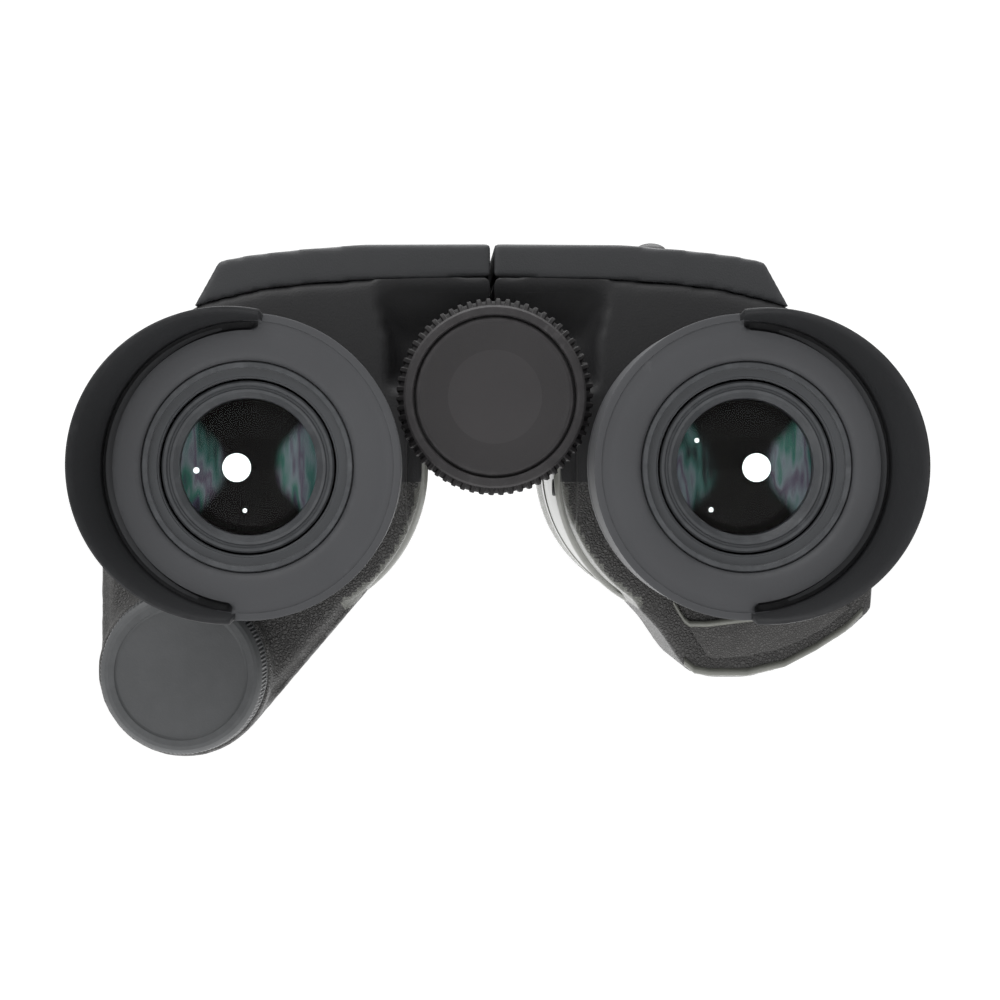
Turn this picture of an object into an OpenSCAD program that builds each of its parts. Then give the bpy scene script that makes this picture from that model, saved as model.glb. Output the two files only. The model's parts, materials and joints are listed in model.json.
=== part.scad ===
// Folding, centre-focus, image-stabilised roof-prism binoculars.
// The origin is on the hinge axis, at the mouth of the tripod socket. +Y points to the objectives.

/* [Layout] */
// Distance between the two optical axes with the hinge fully open
ipd = 72.6; // [71:0.1:90]
// Depth of the optical axes below the hinge axis
axis_drop = 10.6; // [9:0.1:14]
// Distance from the tripod socket's mouth back to the rear wall of the barrels
rear_wall_y = 84; // [78:0.5:110]
// Distance from the tripod socket's mouth forward to the objective rims
rim_y = 24; // [20:0.5:40]
// Thickness of the rear wall
rear_wall_t = 2; // [1.5:0.1:3]

/* [Barrels] */
// Bore radius of the barrel tubes
tube_bore_r = 22.6; // [22.4:0.1:24]
// Wall thickness of the barrels where they are bare
barrel_wall_t = 2.6; // [2.4:0.1:3]
// Wall thickness of the spigot on the front barrel's rear end
spigot_wall_t = 1.3; // [1:0.1:1.5]
// How far the front barrel stands proud of the bare barrel
front_proud = 0.7; // [0.5:0.1:1.2]
// Length of the front barrel
front_barrel_l = 32; // [30:0.5:33]
// Height of the lip inside the front barrel's bore
lip_h = 0.4; // [0.2:0.1:1]
// Room kept round the front barrels for slip-on caps
cap_room = 1.5; // [1:0.1:3]
// Depth of the front barrel's lip
lip_t = 4; // [2:0.1:4]
// Length of the front barrel's spigot
spigot_l = 6; // [5:0.5:8]

/* [Deck] */
// Width of the gap between the two decks
slot_w = 0.6; // [0.4:0.1:1.2]
// Height of the deck's top at the centre slot
deck_top = 24.6; // [24:0.1:30]
// Height of the seam between body and cover at the centre slot
seam_z = 19.4; // [18:0.1:20]
// How far the deck reaches past the optical axis at the seam
deck_reach = 10.7; // [10.5:0.1:13.5]
// Wall thickness of body and cover
wall_t = 1.8; // [1.5:0.1:2.2]
// Distance that the deck stops short of the tripod socket's mouth
deck_front_y = 10; // [8:0.5:16]

/* [Hinge] */
// Outer radius of the hinge knuckles
knuckle_r = 7.5; // [7.3:0.1:8]
// Length of the rear fixed knuckle, in front of the rear wall
rear_knuckle_l = 10; // [8:0.5:12]
// Length of the rear moving knuckle
mid_knuckle_l = 22; // [18:0.5:24]
// Length of each front knuckle
front_knuckle_l = 7.5; // [7:0.1:9]
// Outer radius of the hinge sleeve
sleeve_r = 4; // [3.8:0.1:4.6]
// Outer radius of the front hinge pin
pin_r = 4.5; // [4.3:0.1:5]
// Wall radius of the tripod socket
socket_r = 2.55; // [2.5:0.05:2.6]
// Depth of the tripod socket
socket_l = 8; // [7:0.5:10]
// Running clearance of the turning fits
run_gap = 0.05; // [0.03:0.01:0.08]
// Axial gap between neighbouring knuckles
knuckle_gap = 0.5; // [0.3:0.1:1]

/* [Focus] */
// Radius of the focus knob
knob_r = 14.9; // [14:0.1:14.9]
// Length of the focus knob
knob_l = 14; // [12:0.5:15]
// Radius of the inlaid knob cap
knob_cap_r = 12.3; // [11:0.1:12.6]
// Radius of the focus spindle
spindle_r = 2; // [1.8:0.1:2.4]
// Radius of the focus nut
nut_r = 4.4; // [4.2:0.1:4.8]
// Outer radius of the rings on the focus arms
arm_ring_r = 6.2; // [6:0.1:6.4]
// Thickness of the focus arms
arm_t = 4; // [3:0.1:4]
// Travel of the focus carriages each way
focus_travel = 2.5; // [1:0.1:2.6]
// Room between a barrel's bore and its focusing lens cell
focus_cell_gap = 2.6; // [2.1:0.1:3.6]

/* [Stabiliser] */
// Distance of the gimbal centre behind the tripod socket's mouth
gimbal_y = 50; // [48:0.5:52]
// Room between a barrel's bore and its gimbal ring
gimbal_gap = 1.1; // [1:0.1:1.4]
// Thickness of the gimbal ring
gimbal_ring_t = 2.2; // [1.9:0.1:2.2]
// Length of the gimbal ring
gimbal_l = 10; // [8:0.5:10]
// Radius of the trunnion pins
trunnion_r = 1.5; // [1.2:0.1:1.8]
// Room between the gimbal ring and the prism cage
cage_gap = 0.8; // [0.8:0.1:1.5]
// Length of the prism cage
cage_l = 34; // [30:0.5:34]

/* [Eyepieces] */
// Distance from the rear wall to the rim of the rubber eyecup
eyecup_reach = 42; // [42:0.5:46]
// Outer radius of the rubber eyecup
eyecup_r = 22.3; // [22:0.1:22.3]
// Radius of the opening in the rubber eyecup
eyecup_bore_r = 15.4; // [15.2:0.1:15.6]
// Rubber thickness of the eyecup
rubber_t = 1.8; // [1.5:0.1:1.9]
// Height of the eyecup wing at its outermost point
wing_h = 8.6; // [6:0.1:10]
// Height of the eyecup wing at its two ends
wing_end_h = 2; // [1:0.1:3]
// How far the wing flares outwards
wing_flare = 2.5; // [1:0.1:3]
// Radius of the wide part of the eyepiece tube
eyepiece_r = 17.5; // [17.2:0.1:17.5]
// Radius of the eyepiece nose
nose_r = 12.6; // [12.2:0.1:12.6]
// Clear radius of the eye lens
eye_lens_r = 10; // [9:0.1:10]
// Outer radius of the dioptre ring
dioptre_r = 21.7; // [21:0.1:21.7]

/* [Battery] */
// Sideways distance of the battery housing from the left optical axis
pod_shift = 11.8; // [10.7:0.1:13.7]
// Depth of the battery housing's axis below the optical axes
pod_fall = 31.8; // [31.4:0.1:35]
// Radius of the battery housing
pod_r = 13.6; // [13.4:0.1:14]
// Radius of the battery cap
cap_r = 12.9; // [12.5:0.1:13.2]
// Length of the battery cap outside the housing
cap_l = 8; // [6:0.1:9]
// Radius of the battery cell
cell_r = 8.5; // [8:0.1:8.5]
// Length of the battery cell
cell_l = 34.5; // [30:0.5:34.5]

/* [Thumb rest] */
// Lowest point of the thumb rest below the hinge axis
rest_drop = 43.9; // [42:0.1:46]
// Length of the thumb rest
rest_l = 52; // [40:1:60]
// Thickness of the grip panels
panel_t = 1.4; // [1:0.1:1.6]

/* [Button] */
// Sideways distance of the power button from the hinge axis
button_x = 26; // [22:0.5:30]
// Distance of the power button in front of the rear wall
button_inset = 12; // [10:0.5:20]
// Radius of the power button
button_r = 2.7; // [2.4:0.1:3.2]
// How far the power button stands proud
button_proud = 1.6; // [1.4:0.1:2]

/* [Hidden] */
$fn = 96;

eps = 0.01;
side_gap = 0.3;
axis_x = ipd / 2;
axis_z = -axis_drop;
rear_face_y = -rear_wall_y - rear_wall_t;
barrel_r = tube_bore_r + barrel_wall_t;
spigot_r = tube_bore_r + spigot_wall_t;
front_barrel_r = barrel_r + front_proud;
lip_r = tube_bore_r - lip_h;
focus_cell_r = tube_bore_r - focus_cell_gap;
gimbal_out_r = tube_bore_r - gimbal_gap;
gimbal_in_r = gimbal_out_r - gimbal_ring_t;
cage_r = gimbal_in_r - cage_gap;
deck_half_w = axis_x + deck_reach;
pod_x = axis_x + pod_shift;
pod_drop = axis_drop + pod_fall;
eyecup_y = -rear_wall_y - eyecup_reach;

// Knuckle stations along the hinge axis
rear_knuckle_y0 = rear_face_y - 7;
rear_knuckle_y1 = rear_face_y + rear_knuckle_l;
mid_knuckle_y0 = rear_knuckle_y1 + knuckle_gap;
mid_knuckle_y1 = mid_knuckle_y0 + mid_knuckle_l;
front_mid_y1 = -front_knuckle_l - knuckle_gap;
front_mid_y0 = front_mid_y1 - front_knuckle_l;
chamber_y0 = mid_knuckle_y1 + knuckle_gap;
chamber_y1 = front_mid_y0 - knuckle_gap;
knob_y1 = rear_knuckle_y0 - 1;
knob_y0 = knob_y1 - knob_l;
swing_r = knuckle_r + side_gap;
fold_range = 52;

// The recess behind the knob
recess_x = 13.5;
recess_l = 6;

// Where the front barrel starts
spigot_y = rim_y - front_barrel_l;

// Half-length of the gimbal's trunnions
trunnion_reach = barrel_r - 1.2;

// The webs that carry the knuckles
web_low = -5;
web_high = 9;
web_top = 7.4;
web_x = axis_x - barrel_r + 4;

// Deck heights at the outer end, measured from the values at the slot
deck_drop = 2.8;
seam_drop = 3.8;
side_z = seam_z - seam_drop;

// Focus carriage stations
nut_y0 = chamber_y1 - 13.5;
nut_l = 5;
neck_r = nut_r - 1;
neck_l = arm_t + 2 * run_gap;
clip_t = 1;
focus_cell_y0 = -20;
focus_cell_l = 8;
focus_wall_t = 1.6;
arm_slot_y0 = nut_y0 - focus_travel - 1;
arm_slot_y1 = chamber_y1 - 1;

// Eyepiece stations
nose_y = eyecup_y + 4;
shoulder_y = eyecup_y + 14;
slide_r = eyepiece_r + 0.9;
eyecup_sleeve_in_r = slide_r + run_gap;
eyecup_sleeve_r = eyecup_r - rubber_t;
eyecup_back_y = eyecup_y + 21;
flange_in_r = nose_r + 0.2;
tube_flange_r = eyepiece_r + 2.4;
tube_flange_t = 1.6;
eye_lens_y = nose_y + 2;
eye_lens_seat_r = eye_lens_r + 0.8;
dioptre_bore_r = eyepiece_r - 2;
field_lens_r = dioptre_bore_r - 1.2;
flange_t = 2;
dioptre_in_r = slide_r + 0.4;
dioptre_l = 12;

// Battery stations
pod_y0 = rear_face_y - 4;
pod_l = 50;
mouth_l = 8;
mouth_r = cell_r + 2.5;
liner_r = cell_r + 1.5;
cap_skirt_l = 6;
cap_skirt_r = mouth_r - run_gap;
cap_hollow_r = cell_r + 0.8;
seal_in_r = cell_r + 2;
seal_y = pod_y0 + 2;
seal_l = 1.2;
cell_y0 = pod_y0 + 1;
cell_y1 = cell_y0 + cell_l;
pod_floor_y = pod_y0 + pod_l - 6;

module along_y(y0, y1) {
  translate([0, y1, 0])
    rotate([90, 0, 0])
      linear_extrude(height = y1 - y0)
        children();
}

module rod(r, y0, y1) {
  along_y(y0, y1)
    circle(r = r);
}

module tube(r_in, r_out, y0, y1) {
  difference() {
    rod(r_out, y0, y1);
    rod(r_in, y0 - 1, y1 + 1);
  }
}

module at_axis() {
  translate([axis_x, 0, axis_z])
    children();
}

module left_side() {
  mirror([1, 0, 0])
    children();
}

// The band that joins two circles on their outer tangents
module tangent_band(p, rp, q, rq) {
  d = norm(q - p);
  lean = acos((rp - rq) / d);
  dir = atan2(q[1] - p[1], q[0] - p[0]);
  up = [cos(dir + lean), sin(dir + lean)];
  down = [cos(dir - lean), sin(dir - lean)];
  polygon([p + rp * up, q + rq * up, q + rq * down, p + rp * down]);
}

// ---- Housings, drawn for the right half ----

module deck_outline() {
  polygon([
    [slot_w / 2, seam_z],
    [deck_half_w - 29, seam_z - 0.4],
    [deck_half_w - 20, seam_z - 0.9],
    [deck_half_w - 11, seam_z - 1.9],
    [deck_half_w - 3, side_z],
    [deck_half_w, side_z - 1],
    [axis_x + barrel_r * cos(30), axis_z + barrel_r * sin(30)],
    [axis_x, axis_z],
    [axis_x - barrel_r + 4, axis_z + 3],
    [slot_w / 2, web_low]
  ]);
}

module deck_cavity() {
  intersection() {
    polygon([
      [recess_x + wall_t, web_high],
      [recess_x + wall_t, seam_z + 1],
      [deck_half_w - 3 - wall_t, seam_z + 1],
      [deck_half_w - wall_t - 0.6, side_z - 1.4],
      [deck_half_w - wall_t - 0.6, 6],
      [18, 6]
    ]);
    difference() {
      translate([0, -40])
        square([deck_half_w + 13, 80]);
      translate([axis_x, axis_z])
        circle(r = barrel_r);
    }
  }
}

module cover_outline(inset = 0) {
  polygon([
    [slot_w / 2 + inset, seam_z + (inset > 0 ? -1 : 0)],
    [deck_half_w - 29, seam_z - 0.4 + (inset > 0 ? -1 : 0)],
    [deck_half_w - 20, seam_z - 0.9 + (inset > 0 ? -1 : 0)],
    [deck_half_w - 11, seam_z - 1.9 + (inset > 0 ? -1 : 0)],
    [deck_half_w - 3 - inset, side_z + (inset > 0 ? -1 : 0)],
    [deck_half_w - inset, side_z - 1 + (inset > 0 ? -0.2 : 0)],
    [deck_half_w - 4 - inset * 0.8, deck_top - deck_drop - inset],
    [deck_half_w - 9, deck_top - 1.8 - inset],
    [deck_half_w - 17, deck_top - 0.9 - inset],
    [deck_half_w - 27, deck_top - 0.1 - inset],
    [slot_w / 2 + inset, deck_top - inset]
  ]);
}

module half_shell() {
  difference() {
    union() {
      along_y(rear_face_y, -deck_front_y)
        deck_outline();
      at_axis()
        rod(barrel_r, rear_face_y, spigot_y);
    }
    along_y(-rear_wall_y + wall_t, -deck_front_y - wall_t)
      deck_cavity();
    // The hollow behind the knob
    translate([-eps, rear_face_y - 1, -20])
      cube([recess_x + eps, recess_l + 1, 20 + seam_z - 2.4]);
  }
}

// Everything that is bored through a half at the end: barrel, eyepiece seat, trunnions and screws
module barrel_bores() {
  at_axis() {
    rod(tube_bore_r, -rear_wall_y, rim_y + 1);
    rod(spigot_r, spigot_y - spigot_l, rim_y + 1);
    rod(eyepiece_r, rear_face_y - 1, -rear_wall_y + 1);
  }
  translate([axis_x - trunnion_reach - side_gap, -gimbal_y, axis_z])
    rotate([0, 90, 0])
      cylinder(r = trunnion_r + run_gap, h = 2 * trunnion_reach + 2 * side_gap);
  flange_screws();
}

module knuckle(y0, y1) {
  rod(knuckle_r, y0, y1);
  along_y(y0, y1)
    polygon([[0, web_low], [web_x, web_low], [web_x, web_high], [0, web_top]]);
}

module arm_slot() {
  translate([0, arm_slot_y0, -arm_t / 2 - 1])
    cube([axis_x - 10, arm_slot_y1 - arm_slot_y0, arm_t + 2]);
}

module rest_outline() {
  polygon([
    [axis_x - 13.6, -32.5],
    [axis_x - 9.8, -36.6],
    [axis_x - 6.9, -rest_drop + 3],
    [axis_x - 5.3, -rest_drop + 1],
    [axis_x - 2, -rest_drop],
    [axis_x + 4, -rest_drop],
    [axis_x + 10, -rest_drop + 1.5],
    [axis_x + 15, -rest_drop + 4.1],
    [axis_x + 19.7, -rest_drop + 7],
    [axis_x + 23.7, -rest_drop + 10.6],
    [axis_x + 25, axis_z - 6],
    [axis_x, axis_z]
  ]);
}

module left_body() {
  pod = [pod_x, -pod_drop];
  color([0.22, 0.23, 0.23])
    left_side()
      difference() {
        union() {
          difference() {
            half_shell();
            rod(swing_r, rear_knuckle_y1, chamber_y0 - knuckle_gap / 2);
            rod(knuckle_r, chamber_y0 - knuckle_gap, chamber_y1 + knuckle_gap / 2);
            rod(swing_r, front_mid_y0 - knuckle_gap / 2, front_mid_y1 + knuckle_gap / 2);
            arm_slot();
          }
          knuckle(-rear_wall_y, rear_knuckle_y1);
          rod(knuckle_r, rear_knuckle_y0, rear_knuckle_y1);
          difference() {
            along_y(rear_face_y, pod_y0 + pod_l)
              tangent_band(pod, pod_r - panel_t, [axis_x, axis_z], barrel_r - panel_t);
            at_axis()
              rod(tube_bore_r + 1, rear_face_y - 1, 0);
          }
          translate([pod_x, 0, -pod_drop]) {
            rod(pod_r, pod_y0, rear_face_y + 2);
            rod(pod_r - panel_t, rear_face_y + 2, pod_y0 + pod_l);
          }
        }
        rod(sleeve_r, rear_knuckle_y0 - 1, chamber_y0);
        rod(pin_r, chamber_y1 + 1, 1);
        barrel_bores();
        translate([pod_x, 0, -pod_drop]) {
          rod(mouth_r, pod_y0 - 1, pod_y0 + mouth_l);
          rod(liner_r, pod_y0 + mouth_l - 1, pod_floor_y);
        }
      }
}

module right_body() {
  color([0.22, 0.23, 0.23])
    difference() {
      union() {
        difference() {
          half_shell();
          rod(swing_r, rear_knuckle_y0 - 1, rear_knuckle_y1 + knuckle_gap / 2);
          rod(swing_r, chamber_y0 - knuckle_gap / 2, chamber_y1 + knuckle_gap / 2);
          rod(swing_r, front_mid_y1 + knuckle_gap / 2, 1);
          arm_slot();
        }
        knuckle(mid_knuckle_y0, mid_knuckle_y1);
        knuckle(front_mid_y0, front_mid_y1);
        difference() {
          along_y(rear_face_y, rear_face_y + rest_l)
            rest_outline();
          at_axis()
            rod(tube_bore_r + 1, rear_face_y - 1, 0);
          rest_panel_pocket();
        }
      }
      rod(sleeve_r + run_gap, mid_knuckle_y0 - 1, mid_knuckle_y1 + 1);
      rod(pin_r + run_gap, front_mid_y0 - 1, front_mid_y1 + 1);
      barrel_bores();
    }
}

// The panel's shape along the rest's outer slope
module panel_outline(grow) {
  polygon([
    [axis_x + 10, -rest_drop + 1.5],
    [axis_x + 15, -rest_drop + 4.1],
    [axis_x + 19.7, -rest_drop + 7],
    [axis_x + 23.7, -rest_drop + 10.6],
    [axis_x + 23.7 - panel_t * 1.2, -rest_drop + 10.6 + grow],
    [axis_x + 19.2, -rest_drop + 7 + panel_t],
    [axis_x + 14.5, -rest_drop + 4.1 + panel_t],
    [axis_x + 9.5, -rest_drop + 1.5 + panel_t]
  ]);
}

module rest_panel_pocket() {
  along_y(rear_face_y + 4, rear_face_y + rest_l - 6)
    panel_outline(0.4);
}

module right_grip() {
  color([0.26, 0.26, 0.25])
    rest_panel_pocket();
}

// Grained rubber over the battery housing
module left_grip() {
  pod = [pod_x, -pod_drop];
  color([0.26, 0.26, 0.25])
    left_side()
      difference() {
        union() {
          along_y(rear_face_y + 2, pod_y0 + pod_l)
            tangent_band(pod, pod_r, [axis_x, axis_z], barrel_r);
          translate([pod_x, 0, -pod_drop])
            rod(pod_r, rear_face_y + 2, pod_y0 + pod_l);
        }
        along_y(rear_face_y, pod_y0 + pod_l + 1)
          tangent_band(pod, pod_r - panel_t, [axis_x, axis_z], barrel_r - panel_t);
        translate([pod_x, 0, -pod_drop])
          rod(pod_r - panel_t, rear_face_y, pod_y0 + pod_l + 1);
        at_axis()
          rod(barrel_r, rear_face_y - 1, rim_y);
      }
}

module top_cover() {
  difference() {
    along_y(rear_face_y, -deck_front_y)
      cover_outline();
    along_y(-rear_wall_y + wall_t, -deck_front_y - wall_t - deck_top + seam_z)
      cover_outline(wall_t);
    // Sloping front edge
    translate([-1, -deck_front_y, seam_z + 0.5])
      rotate([45, 0, 0])
        cube([deck_half_w + 13, 20, 20]);
  }
}

module left_top_cover() {
  color([0.24, 0.25, 0.25])
    left_side()
      top_cover();
}

module right_top_cover() {
  color([0.24, 0.25, 0.25])
    difference() {
      top_cover();
      translate([button_x, -rear_wall_y + button_inset, 0])
        cylinder(r = button_r + run_gap, h = 60);
    }
}

module front_barrel() {
  at_axis()
    difference() {
      union() {
        rod(front_barrel_r, spigot_y, rim_y);
        rod(spigot_r, spigot_y - spigot_l, spigot_y + eps);
      }
      rod(tube_bore_r, spigot_y - spigot_l - 1, rim_y - lip_t);
      rod(lip_r, rim_y - lip_t - 1, rim_y + 1);
    }
}

module left_front_barrel() {
  color([0.25, 0.25, 0.24])
    left_side()
      front_barrel();
}

module right_front_barrel() {
  color([0.25, 0.25, 0.24])
    front_barrel();
}

// ---- Objectives ----

objective_lens_r = tube_bore_r - 1.6;
objective_cell_in_r = objective_lens_r - 0.8;
objective_lens_t = 9;

module objective_cell() {
  at_axis()
    difference() {
      rod(tube_bore_r, rim_y - 23, rim_y - 6);
      rod(objective_lens_r, rim_y - 21, rim_y - 5);
      rod(objective_cell_in_r, rim_y - 24, rim_y - 20);
    }
}

module objective_lens() {
  at_axis()
    rod(objective_lens_r, rim_y - 21, rim_y - 21 + objective_lens_t);
}

module objective_ring() {
  at_axis()
    tube(objective_cell_in_r, objective_lens_r, rim_y - 21 + objective_lens_t, rim_y - 9);
}

module left_objective_cell() {
  color([0.12, 0.12, 0.13])
    left_side()
      objective_cell();
}

module right_objective_cell() {
  color([0.12, 0.12, 0.13])
    objective_cell();
}

module left_objective_lens() {
  color([0.5, 0.65, 0.6, 0.5])
    left_side()
      objective_lens();
}

module right_objective_lens() {
  color([0.5, 0.65, 0.6, 0.5])
    objective_lens();
}

module left_objective_ring() {
  color([0.1, 0.1, 0.1])
    left_side()
      objective_ring();
}

module right_objective_ring() {
  color([0.1, 0.1, 0.1])
    objective_ring();
}

// ---- Eyepieces ----

// The bore behind the shoulder holds the field lens, or the cell of the dioptre adjustment
module eyepiece_tube(bore_r) {
  difference() {
    at_axis()
      difference() {
        union() {
          rod(eyepiece_r, shoulder_y, -rear_wall_y + 3);
          rod(nose_r, nose_y, shoulder_y + eps);
          rod(tube_flange_r, rear_face_y - tube_flange_t, rear_face_y);
        }
        rod(eye_lens_r, nose_y - 1, eye_lens_y + 1);
        rod(eye_lens_seat_r, eye_lens_y, shoulder_y - 1);
        rod(eye_lens_r - 0.6, shoulder_y - 2, shoulder_y + 3);
        rod(bore_r, shoulder_y + 2, -rear_wall_y + 4);
      }
    flange_screws();
  }
}

module left_eyepiece_tube() {
  color([0.1, 0.1, 0.11])
    left_side()
      eyepiece_tube(field_lens_r);
}

module right_eyepiece_tube() {
  color([0.1, 0.1, 0.11])
    eyepiece_tube(dioptre_bore_r);
}

module eye_lens() {
  at_axis()
    rod(eye_lens_seat_r, eye_lens_y, shoulder_y - 2);
}

module left_eye_lens() {
  color([0.3, 0.4, 0.45, 0.5])
    left_side()
      eye_lens();
}

module right_eye_lens() {
  color([0.3, 0.4, 0.45, 0.5])
    eye_lens();
}

module eye_lens_ring() {
  at_axis()
    tube(eye_lens_r, nose_r, nose_y - 1.4, nose_y);
}

module left_eye_lens_ring() {
  color([0.28, 0.29, 0.3])
    left_side()
      eye_lens_ring();
}

module right_eye_lens_ring() {
  color([0.28, 0.29, 0.3])
    eye_lens_ring();
}

module field_lens() {
  at_axis()
    rod(field_lens_r, shoulder_y + 8, shoulder_y + 13);
}

module left_field_lens() {
  color([0.3, 0.4, 0.45, 0.5])
    left_side()
      field_lens();
}

module right_field_lens() {
  color([0.3, 0.4, 0.45, 0.5])
    field_lens();
}

module eyecup_slide() {
  at_axis()
    tube(eyepiece_r + run_gap, slide_r, shoulder_y + 1, shoulder_y + 15);
}

module left_eyecup_slide() {
  color([0.16, 0.16, 0.17])
    left_side()
      eyecup_slide();
}

module right_eyecup_slide() {
  color([0.16, 0.16, 0.17])
    eyecup_slide();
}

module eyecup_sleeve() {
  at_axis() {
    tube(eyecup_sleeve_in_r, eyecup_sleeve_r, eyecup_y + rubber_t, eyecup_back_y);
    tube(flange_in_r, eyecup_sleeve_in_r + eps, eyecup_y + rubber_t, eyecup_y + rubber_t + flange_t);
  }
}

module left_eyecup_sleeve() {
  color([0.28, 0.3, 0.31])
    left_side()
      eyecup_sleeve();
}

module right_eyecup_sleeve() {
  color([0.28, 0.3, 0.31])
    eyecup_sleeve();
}

module wing() {
  slope = atan2(wing_h - wing_end_h, eyecup_r);
  intersection() {
    rotate([90, 0, 0])
      translate([0, 0, -eyecup_y - eps])
        rotate_extrude()
          polygon([
            [eyecup_r - rubber_t, -1],
            [eyecup_r - 0.15, -1],
            [eyecup_r + wing_flare, wing_h],
            [eyecup_r + wing_flare - rubber_t, wing_h]
          ]);
    difference() {
      translate([0, eyecup_y - 20, -40])
        cube([40, 21, 80]);
      translate([0, eyecup_y - wing_end_h, -41])
        rotate([0, 0, -slope])
          translate([-20, -30, 0])
            cube([80, 30, 82]);
    }
  }
}

module eyecup(wing_tilt) {
  at_axis() {
    tube(eyecup_sleeve_r, eyecup_r, eyecup_y + rubber_t, eyecup_back_y);
    tube(eyecup_bore_r, eyecup_r, eyecup_y, eyecup_y + rubber_t);
    rotate([0, wing_tilt, 0])
      wing();
  }
}

module left_eyecup() {
  color([0.29, 0.29, 0.29])
    left_side()
      eyecup(-5);
}

module right_eyecup() {
  color([0.29, 0.29, 0.29])
    eyecup(-2);
}

module dioptre_ring() {
  color([0.2, 0.2, 0.21])
    at_axis() {
      tube(dioptre_in_r, dioptre_r, eyecup_back_y + 0.5, eyecup_back_y + 0.5 + dioptre_l);
      tube(eyepiece_r + run_gap, dioptre_in_r + eps, eyecup_back_y + dioptre_l - 2.5, eyecup_back_y + 0.5 + dioptre_l);
    }
}

module dioptre_cell() {
  color([0.14, 0.14, 0.15])
    at_axis()
      difference() {
        rod(dioptre_bore_r - run_gap, shoulder_y + 6, shoulder_y + 15);
        rod(field_lens_r, shoulder_y + 8, shoulder_y + 16);
        rod(field_lens_r - 1, shoulder_y + 5, shoulder_y + 9);
      }
}

// ---- Hinge ----

// The fixed front knuckle, on a foot that stands on the left deck's front face
module hinge_bracket() {
  foot_h = 6;
  color([0.22, 0.23, 0.23])
    left_side()
      difference() {
        union() {
          rod(knuckle_r, -front_knuckle_l, 0);
          along_y(-deck_front_y, -1)
            polygon([[0, web_low], [axis_x - tube_bore_r, web_low], [axis_x - tube_bore_r, foot_h], [0, foot_h + 1]]);
        }
        rod(swing_r, -deck_front_y - 1, -front_knuckle_l - knuckle_gap / 2);
        rod(pin_r, -deck_front_y - 1, 1);
        at_axis()
          rod(front_barrel_r + cap_room, -deck_front_y - 1, 1);
      }
}

module hinge_sleeve() {
  color([0.6, 0.6, 0.62])
    tube(spindle_r + run_gap, sleeve_r, rear_knuckle_y0, chamber_y0);
}

module hinge_pin() {
  color([0.6, 0.6, 0.62])
    difference() {
      rod(pin_r, chamber_y1 + 1, 0);
      rod(socket_r, -socket_l, 1);
    }
}

// Thin tube over the focus nut, with a slot for each arm. The moving arm's slot covers the whole fold
module hinge_cover() {
  reach = 20;
  half_h = arm_t / 2 + 1;
  along = [cos(fold_range), -sin(fold_range)];
  below = [-sin(fold_range), -cos(fold_range)];
  color([0.2, 0.21, 0.21])
    difference() {
      tube(knuckle_r - 0.8, knuckle_r, chamber_y0, chamber_y1);
      along_y(arm_slot_y0, arm_slot_y1) {
        polygon([[0, half_h], [reach, half_h], reach * along + half_h * below, half_h * below]);
        translate([-reach, -half_h])
          square([reach, 2 * half_h]);
      }
    }
}

// ---- Focus ----

module focus_knob() {
  color([0.17, 0.17, 0.18])
    difference() {
      rod(knob_r, knob_y0, knob_y1);
      rod(knob_cap_r, knob_y0 - 1, knob_y0 + 2);
      rod(spindle_r, knob_y0, knob_y1 + 1);
    }
}

module focus_knob_cap() {
  color([0.2, 0.2, 0.21])
    rod(knob_cap_r - 0.25, knob_y0 + 0.3, knob_y0 + 2);
}

module focus_spindle() {
  color([0.7, 0.7, 0.72])
    rod(spindle_r, knob_y0 + 2, chamber_y1 - 2);
}

module focus_nut() {
  color([0.72, 0.6, 0.35])
    difference() {
      union() {
        rod(nut_r, nut_y0, nut_y0 + nut_l);
        rod(neck_r, nut_y0 + nut_l - eps, nut_y0 + nut_l + neck_l + clip_t);
      }
      rod(spindle_r + run_gap, nut_y0 - 1, nut_y0 + nut_l + 10);
    }
}

module focus_nut_clip() {
  color([0.6, 0.6, 0.62])
    tube(neck_r, neck_r + 1, nut_y0 + nut_l + neck_l, nut_y0 + nut_l + neck_l + clip_t);
}

// An arm from the hinge axis, a rail along the barrel's wall and the lens cell
module focus_carrier(ring_in_r, ring_y0) {
  ring_y1 = ring_y0 + arm_t;
  cell_y1 = focus_cell_y0 + focus_cell_l;
  rail_r = tube_bore_r - 0.5;
  rail_x = axis_x - sqrt(rail_r * rail_r - pow(axis_drop + arm_t / 2, 2));
  difference() {
    union() {
      rod(arm_ring_r, ring_y0, ring_y1);
      translate([0, ring_y0, -arm_t / 2])
        cube([rail_x + 1, arm_t, arm_t]);
      translate([rail_x, ring_y0, -arm_t / 2])
        cube([3.4, cell_y1 - ring_y0, arm_t]);
      at_axis()
        rod(focus_cell_r, focus_cell_y0, cell_y1);
    }
    rod(ring_in_r, ring_y0 - 1, ring_y1 + 1);
    at_axis()
      rod(focus_cell_r - focus_wall_t, ring_y0 - 1, cell_y1 + 1);
  }
}

module left_focus_carrier() {
  color([0.3, 0.3, 0.32])
    left_side()
      focus_carrier(nut_r, nut_y0 + 0.5);
}

module right_focus_carrier() {
  color([0.3, 0.3, 0.32])
    focus_carrier(neck_r + run_gap, nut_y0 + nut_l + run_gap);
}

module focus_lens() {
  at_axis()
    rod(focus_cell_r - focus_wall_t, focus_cell_y0 + 1, focus_cell_y0 + focus_cell_l - 2);
}

module left_focus_lens() {
  color([0.4, 0.55, 0.6, 0.5])
    left_side()
      focus_lens();
}

module right_focus_lens() {
  color([0.4, 0.55, 0.6, 0.5])
    focus_lens();
}

// ---- Stabiliser ----

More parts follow.
